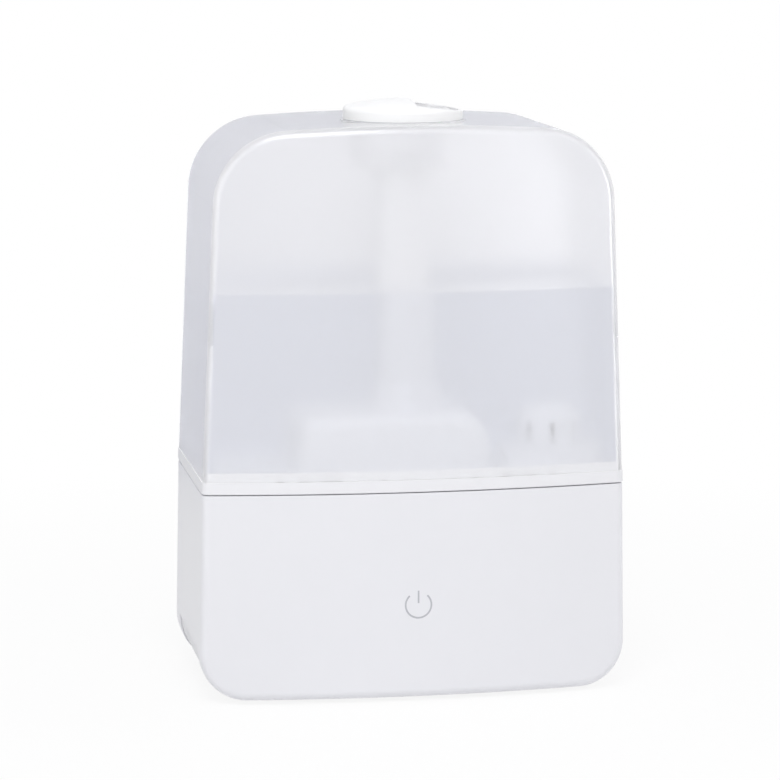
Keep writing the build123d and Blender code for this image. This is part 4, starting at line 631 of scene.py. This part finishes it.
# %% Water foot and edge
FOOT_DEPTH = 0.001  # into the floor, trimmed later
MENISCUS_WIDTH = 0.0016
MENISCUS_RISE = 0.0005
MENISCUS_STEPS = (0.35, 0.65)  # each inset's share of the drop
LEVEL = 0.9  # a face whose normal is this upright lies flat
bpy.ops.object.mode_set(mode="EDIT")
bpy.ops.mesh.select_all(action="SELECT")
bpy.ops.mesh.normals_make_consistent(inside=False)
pick(water, "FACE", lambda face, middle: face.normal.z < -LEVEL)
bpy.ops.mesh.inset(thickness=RIB)
bpy.ops.mesh.extrude_region_move(TRANSFORM_OT_translate={"value": (0, 0, TANK_FLOOR - FOOT_DEPTH - RIB_TOP)})
pick(water, "FACE", lambda face, middle: face.normal.z > LEVEL)
for share in MENISCUS_STEPS:
    bpy.ops.mesh.inset(thickness=MENISCUS_WIDTH / len(MENISCUS_STEPS))
    bpy.ops.transform.translate(value=(0, 0, -MENISCUS_RISE * share))
bpy.ops.mesh.select_all(action="SELECT")
bpy.ops.mesh.normals_make_consistent(inside=False)
bpy.ops.object.mode_set(mode="OBJECT")
print("water faces", len(water.data.polygons), "top", round(max(v.co.z for v in water.data.vertices), 4))

# %% [markdown]
# Water wets what stands in it. An air film between the two would act as a mirror at this low view, so the
# water reaches a hair's breadth into the floor and the duct. The chamber is cut out with a slightly thinned
# copy of the floor solid. The strainer is full of water, so it isn't cut out at all.

# %% Cut out the mist chamber
WETTING = 0.0002  # how far the water reaches into a piece
MERGE = 1e-6
deselect()
floor_copy = nodes["tank_floor"].copy()
floor_copy.data = nodes["tank_floor"].data.copy()
floor_copy.parent = None
for key in list(floor_copy.keys()):
    del floor_copy[key]
scene.collection.objects.link(floor_copy)
floor_copy.select_set(True)
bpy.context.view_layer.objects.active = floor_copy
bpy.ops.object.mode_set(mode="EDIT")
bpy.ops.mesh.select_all(action="SELECT")
bpy.ops.mesh.remove_doubles(threshold=MERGE)
bpy.ops.mesh.normals_make_consistent(inside=False)
bpy.ops.object.mode_set(mode="OBJECT")
thin = floor_copy.modifiers.new("thin", "DISPLACE")
thin.strength = -WETTING
thin.mid_level = 0.0
bpy.ops.object.modifier_apply(modifier=thin.name)
cut_away(water, floor_copy)
print("water round the chamber", len(water.data.polygons), "faces")

# %% [markdown]
# The duct is a plain tube with a flared foot, so a cylinder and a cone cut its place out of the water. Both
# are as much thinner than the real tube as the water reaches into it.

# %% Cut out the duct
DUCT_X, DUCT_Y = 0.0, -0.010
DUCT_RADIUS = 0.013 - WETTING
DUCT_TOOL_MIDDLE = 0.176
DUCT_TOOL_LENGTH = 0.1  # from inside the flare to above the water
FLARE_RADIUS = 0.0195 - WETTING
FLARE_LOW = 0.1316
FLARE_HIGH = 0.145 - WETTING
ROUND = 96  # sides of a round tool
deselect()
bpy.ops.mesh.primitive_cylinder_add(
    vertices=ROUND, radius=DUCT_RADIUS, depth=DUCT_TOOL_LENGTH, location=(DUCT_X, DUCT_Y, DUCT_TOOL_MIDDLE),
)
cut_away(water, bpy.context.object)
deselect()
bpy.ops.mesh.primitive_cone_add(
    vertices=ROUND, radius1=FLARE_RADIUS, radius2=DUCT_RADIUS, depth=FLARE_HIGH - FLARE_LOW,
    location=(DUCT_X, DUCT_Y, (FLARE_LOW + FLARE_HIGH) / 2),
)
cut_away(water, bpy.context.object)
print("water round the duct", len(water.data.polygons), "faces")

# %% [markdown]
# Cutting leaves bits of water where the tank has none, such as inside the chamber. They come away as loose
# pieces, and only the piece with the largest front is kept.

# %% Keep the water in the tank
SMOOTH_UP_TO = 30  # degrees between faces
deselect()
water.select_set(True)
bpy.context.view_layer.objects.active = water
bpy.ops.object.mode_set(mode="EDIT")
bpy.ops.mesh.select_all(action="SELECT")
bpy.ops.mesh.separate(type="LOOSE")
bpy.ops.object.mode_set(mode="OBJECT")
pieces = sorted(bpy.context.selected_objects, key=lambda piece: len(piece.data.vertices))
loose_boxes = [tuple(round(v, 3) for v in piece.dimensions) for piece in pieces]
water = max(pieces, key=lambda piece: piece.dimensions.x * piece.dimensions.z)
for piece in pieces:
    if piece != water:
        bpy.data.objects.remove(piece)
settle(water, "tank_water")
bpy.ops.object.shade_smooth_by_angle(angle=math.radians(SMOOTH_UP_TO))
print("loose pieces", loose_boxes, "water box", [round(v, 4) for v in water.dimensions])

# %% [markdown]
# Clean water has hardly any colour of its own, but here it reads cooler and dimmer than the empty tank above.
# Most of that is painted shade: a cool tint on the clear shader itself, which gives the water line its clear
# edge. A light absorption by depth adds a little more where the water is deep.

# %% Water look
WATER_TINT = 3.0  # absorption per metre
# A cool tint that real water lacks: painted shade.
WATER_SHADE_TINT = (0.74, 0.77, 0.85)
DEPTH_TINT = (0.69, 0.73, 0.83)
clear = bpy.data.materials.new("tank_water")
clear.use_nodes = True
tree = clear.node_tree
tree.nodes.clear()
place = add_node(tree, "ShaderNodeTexCoord", "place")
ripple = add_node(tree, "ShaderNodeTexNoise", "ripple", {"Scale": 30.0, "Detail": 1.0})
swell = add_node(tree, "ShaderNodeBump", "ripple height", {"Strength": 0.05, "Distance": 0.001})
body = add_node(
    tree, "ShaderNodeBsdfPrincipled", "body",
    {"Base Color": (*WATER_SHADE_TINT, 1), "Roughness": 0.0, "Transmission Weight": 1.0, "IOR": 1.33},
)
depth = add_node(
    tree, "ShaderNodeVolumeAbsorption", "depth tint", {"Color": (*DEPTH_TINT, 1), "Density": WATER_TINT},
)
out = add_node(tree, "ShaderNodeOutputMaterial", "out")
wire(
    tree,
    (depth.outputs["Volume"], out.inputs["Volume"]),
    (place.outputs["Object"], ripple.inputs["Vector"]),
    (ripple.outputs["Fac"], swell.inputs["Height"]),
    (swell.outputs["Normal"], body.inputs["Normal"]),
    (body.outputs["BSDF"], out.inputs["Surface"]),
)
let_light_in(clear, (0.98, 0.98, 0.985))
water.data.materials.clear()
water.data.materials.append(clear)
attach(water, "tank")
print("water rides on the tank")

# %% [markdown]
# ## Studio
#
# The object stands in soft light from all sides. A white room would light pale plastic until it clips, so
# the sky that lights the object is dimmer than white. Only rays that come from the camera, off a gloss or
# through glass see the background as white.


# %% World
def seen_white(tree):
    """The socket that is 1 for rays from the camera, off a gloss or through glass."""
    path = add_node(tree, "ShaderNodeLightPath", "ray")
    seen = add_node(tree, "ShaderNodeMath", "camera or mirror", operation="MAXIMUM")
    shown = add_node(tree, "ShaderNodeMath", "or through", operation="MAXIMUM")
    wire(
        tree,
        (path.outputs["Is Camera Ray"], seen.inputs[0]),
        (path.outputs["Is Glossy Ray"], seen.inputs[1]),
        (seen.outputs[0], shown.inputs[0]),
        (path.outputs["Is Transmission Ray"], shown.inputs[1]),
    )
    return shown.outputs[0]


SKY = 0.62
SKY_COLOUR = (0.98, 0.985, 1.0)
world = bpy.data.worlds.new("studio")
scene.world = world
world.use_nodes = True
tree = world.node_tree
tree.nodes.clear()
soft = add_node(tree, "ShaderNodeBackground", "soft light", {"Color": (*SKY_COLOUR, 1), "Strength": SKY})
white = add_node(tree, "ShaderNodeBackground", "white", {"Color": (1, 1, 1, 1), "Strength": 1.0})
choose = add_node(tree, "ShaderNodeMixShader", "choose")
out = add_node(tree, "ShaderNodeOutputWorld", "out")
wire(
    tree,
    (seen_white(tree), choose.inputs["Fac"]),
    (soft.outputs[0], choose.inputs[1]),
    (white.outputs[0], choose.inputs[2]),
    (choose.outputs[0], out.inputs["Surface"]),
)
print("sky", SKY)

# %% [markdown]
# ## Floor
#
# The floor is a pale plane that runs into the white background. It mixes plain paint, which takes the shadow,
# with white that needs no light. A small share of the shadow shows round the object and fades out with
# distance, so no edge of the floor is seen.

# %% Floor
FLOOR_SIZE = 6.0
FLOOR_DROP = 0.0002  # just under the feet
FLOOR_PAINT = (0.9, 0.9, 0.9)
SHADOW = 0.12  # how much of the shadow shows on the white floor
SHADOW_NEAR, SHADOW_FAR = 0.16, 0.55  # metres from the middle over which it fades out
deselect()
bpy.ops.mesh.primitive_plane_add(size=FLOOR_SIZE, location=(0, 0, -FLOOR_DROP))
floor = bpy.context.object
floor.name = "studio_floor"
pale = bpy.data.materials.new("pale_floor")
pale.use_nodes = True
tree = pale.node_tree
tree.nodes.clear()
place = add_node(tree, "ShaderNodeTexCoord", "place")
away = add_node(tree, "ShaderNodeVectorMath", "distance", operation="LENGTH")
clear_floor = add_node(
    tree, "ShaderNodeMapRange", "white share",
    {"From Min": SHADOW_NEAR, "From Max": SHADOW_FAR, "To Min": 1.0 - SHADOW, "To Max": 1.0},
)
share = add_node(tree, "ShaderNodeMath", "share where seen", operation="MULTIPLY")
paint = add_node(tree, "ShaderNodeBsdfDiffuse", "paint", {"Color": (*FLOOR_PAINT, 1)})
white = add_node(tree, "ShaderNodeEmission", "white", {"Strength": 1.0})
choose = add_node(tree, "ShaderNodeMixShader", "choose")
out = add_node(tree, "ShaderNodeOutputMaterial", "out")
wire(
    tree,
    (place.outputs["Object"], away.inputs[0]),
    (away.outputs["Value"], clear_floor.inputs["Value"]),
    (seen_white(tree), share.inputs[0]),
    (clear_floor.outputs["Result"], share.inputs[1]),
    (share.outputs[0], choose.inputs["Fac"]),
    (paint.outputs[0], choose.inputs[1]),
    (white.outputs[0], choose.inputs[2]),
    (choose.outputs[0], out.inputs["Surface"]),
)
floor.data.materials.append(pale)
print("floor", FLOOR_SIZE)

# %% [markdown]
# ## Lamps
#
# A broad key lamp above and in front gives the form, and a weak one at the right opens the shaded side
# without a reflection of its own. The edge panel at the left is seen only as a reflection, and draws the
# bright line down the tank's rounded front edge. A lamp that also lit the wall there would wash it out.


# %% Lamps
def lamp(name, place, aim, width, height, power):
    """A broad lamp that looks at a point."""
    deselect()
    bpy.ops.object.light_add(type="AREA", location=place)
    light = bpy.context.object
    light.name = name
    light.data.shape = "RECTANGLE"
    light.data.size = width
    light.data.size_y = height
    light.data.energy = power
    light.rotation_mode = "QUATERNION"
    light.rotation_quaternion = (Vector(aim) - Vector(place)).to_track_quat("-Z", "Y")
    return light


MIDDLE = (0.0, 0.0, 0.13)
lamp("key_lamp", place=(-0.2, -0.8, 1.2), aim=MIDDLE, width=0.6, height=0.6, power=8.9)
side = lamp("side_lamp", place=(1.5, 0.4, 0.3), aim=MIDDLE, width=0.9, height=0.5, power=4.0)
side.visible_glossy = False
panel = lamp("edge_panel", place=(-0.95, -0.45, 0.3), aim=MIDDLE, width=1.1, height=0.8, power=6.0)
panel.visible_diffuse = False
panel.visible_transmission = False

# %% [markdown]
# ## Cards and glow
#
# In an all-white room a glossy pale edge reflects white on white and is lost. A studio hangs grey cards where
# the gloss looks. These two are seen only in reflections and through the frosting, so they darken mostly the
# tank's side and top. A small glow behind the right shows only through the tank.


# %% Cards and glow
def card(name, place, width, height, colour):
    """An upright grey card that only gloss and frosted walls see."""
    deselect()
    bpy.ops.mesh.primitive_plane_add(size=1.0, location=place, rotation=(math.pi / 2, 0, 0))
    board = bpy.context.object
    board.name = name
    board.scale = (width, height, 1.0)
    board.visible_camera = False
    board.visible_diffuse = False
    board.visible_shadow = False
    grey = bpy.data.materials.new(name)
    grey.use_nodes = True
    tree = grey.node_tree
    tree.nodes.clear()
    paint = add_node(tree, "ShaderNodeBsdfDiffuse", "paint", {"Color": (*colour, 1)})
    out = add_node(tree, "ShaderNodeOutputMaterial", "out")
    wire(tree, (paint.outputs[0], out.inputs["Surface"]))
    board.data.materials.append(grey)


card("left_card", place=(-0.25, 0.55, 0.2), width=0.5, height=0.5, colour=(0.70, 0.71, 0.78))
card("back_card", place=(0.25, 1.6, 0.56), width=1.5, height=0.6, colour=(0.84, 0.85, 0.92))
glow = lamp("right_glow", place=(0.42, 0.6, 0.2), aim=MIDDLE, width=0.45, height=0.5, power=1.05)
glow.visible_camera = False
glow.visible_diffuse = False
glow.visible_glossy = False
print("cards and glow behind the tank")
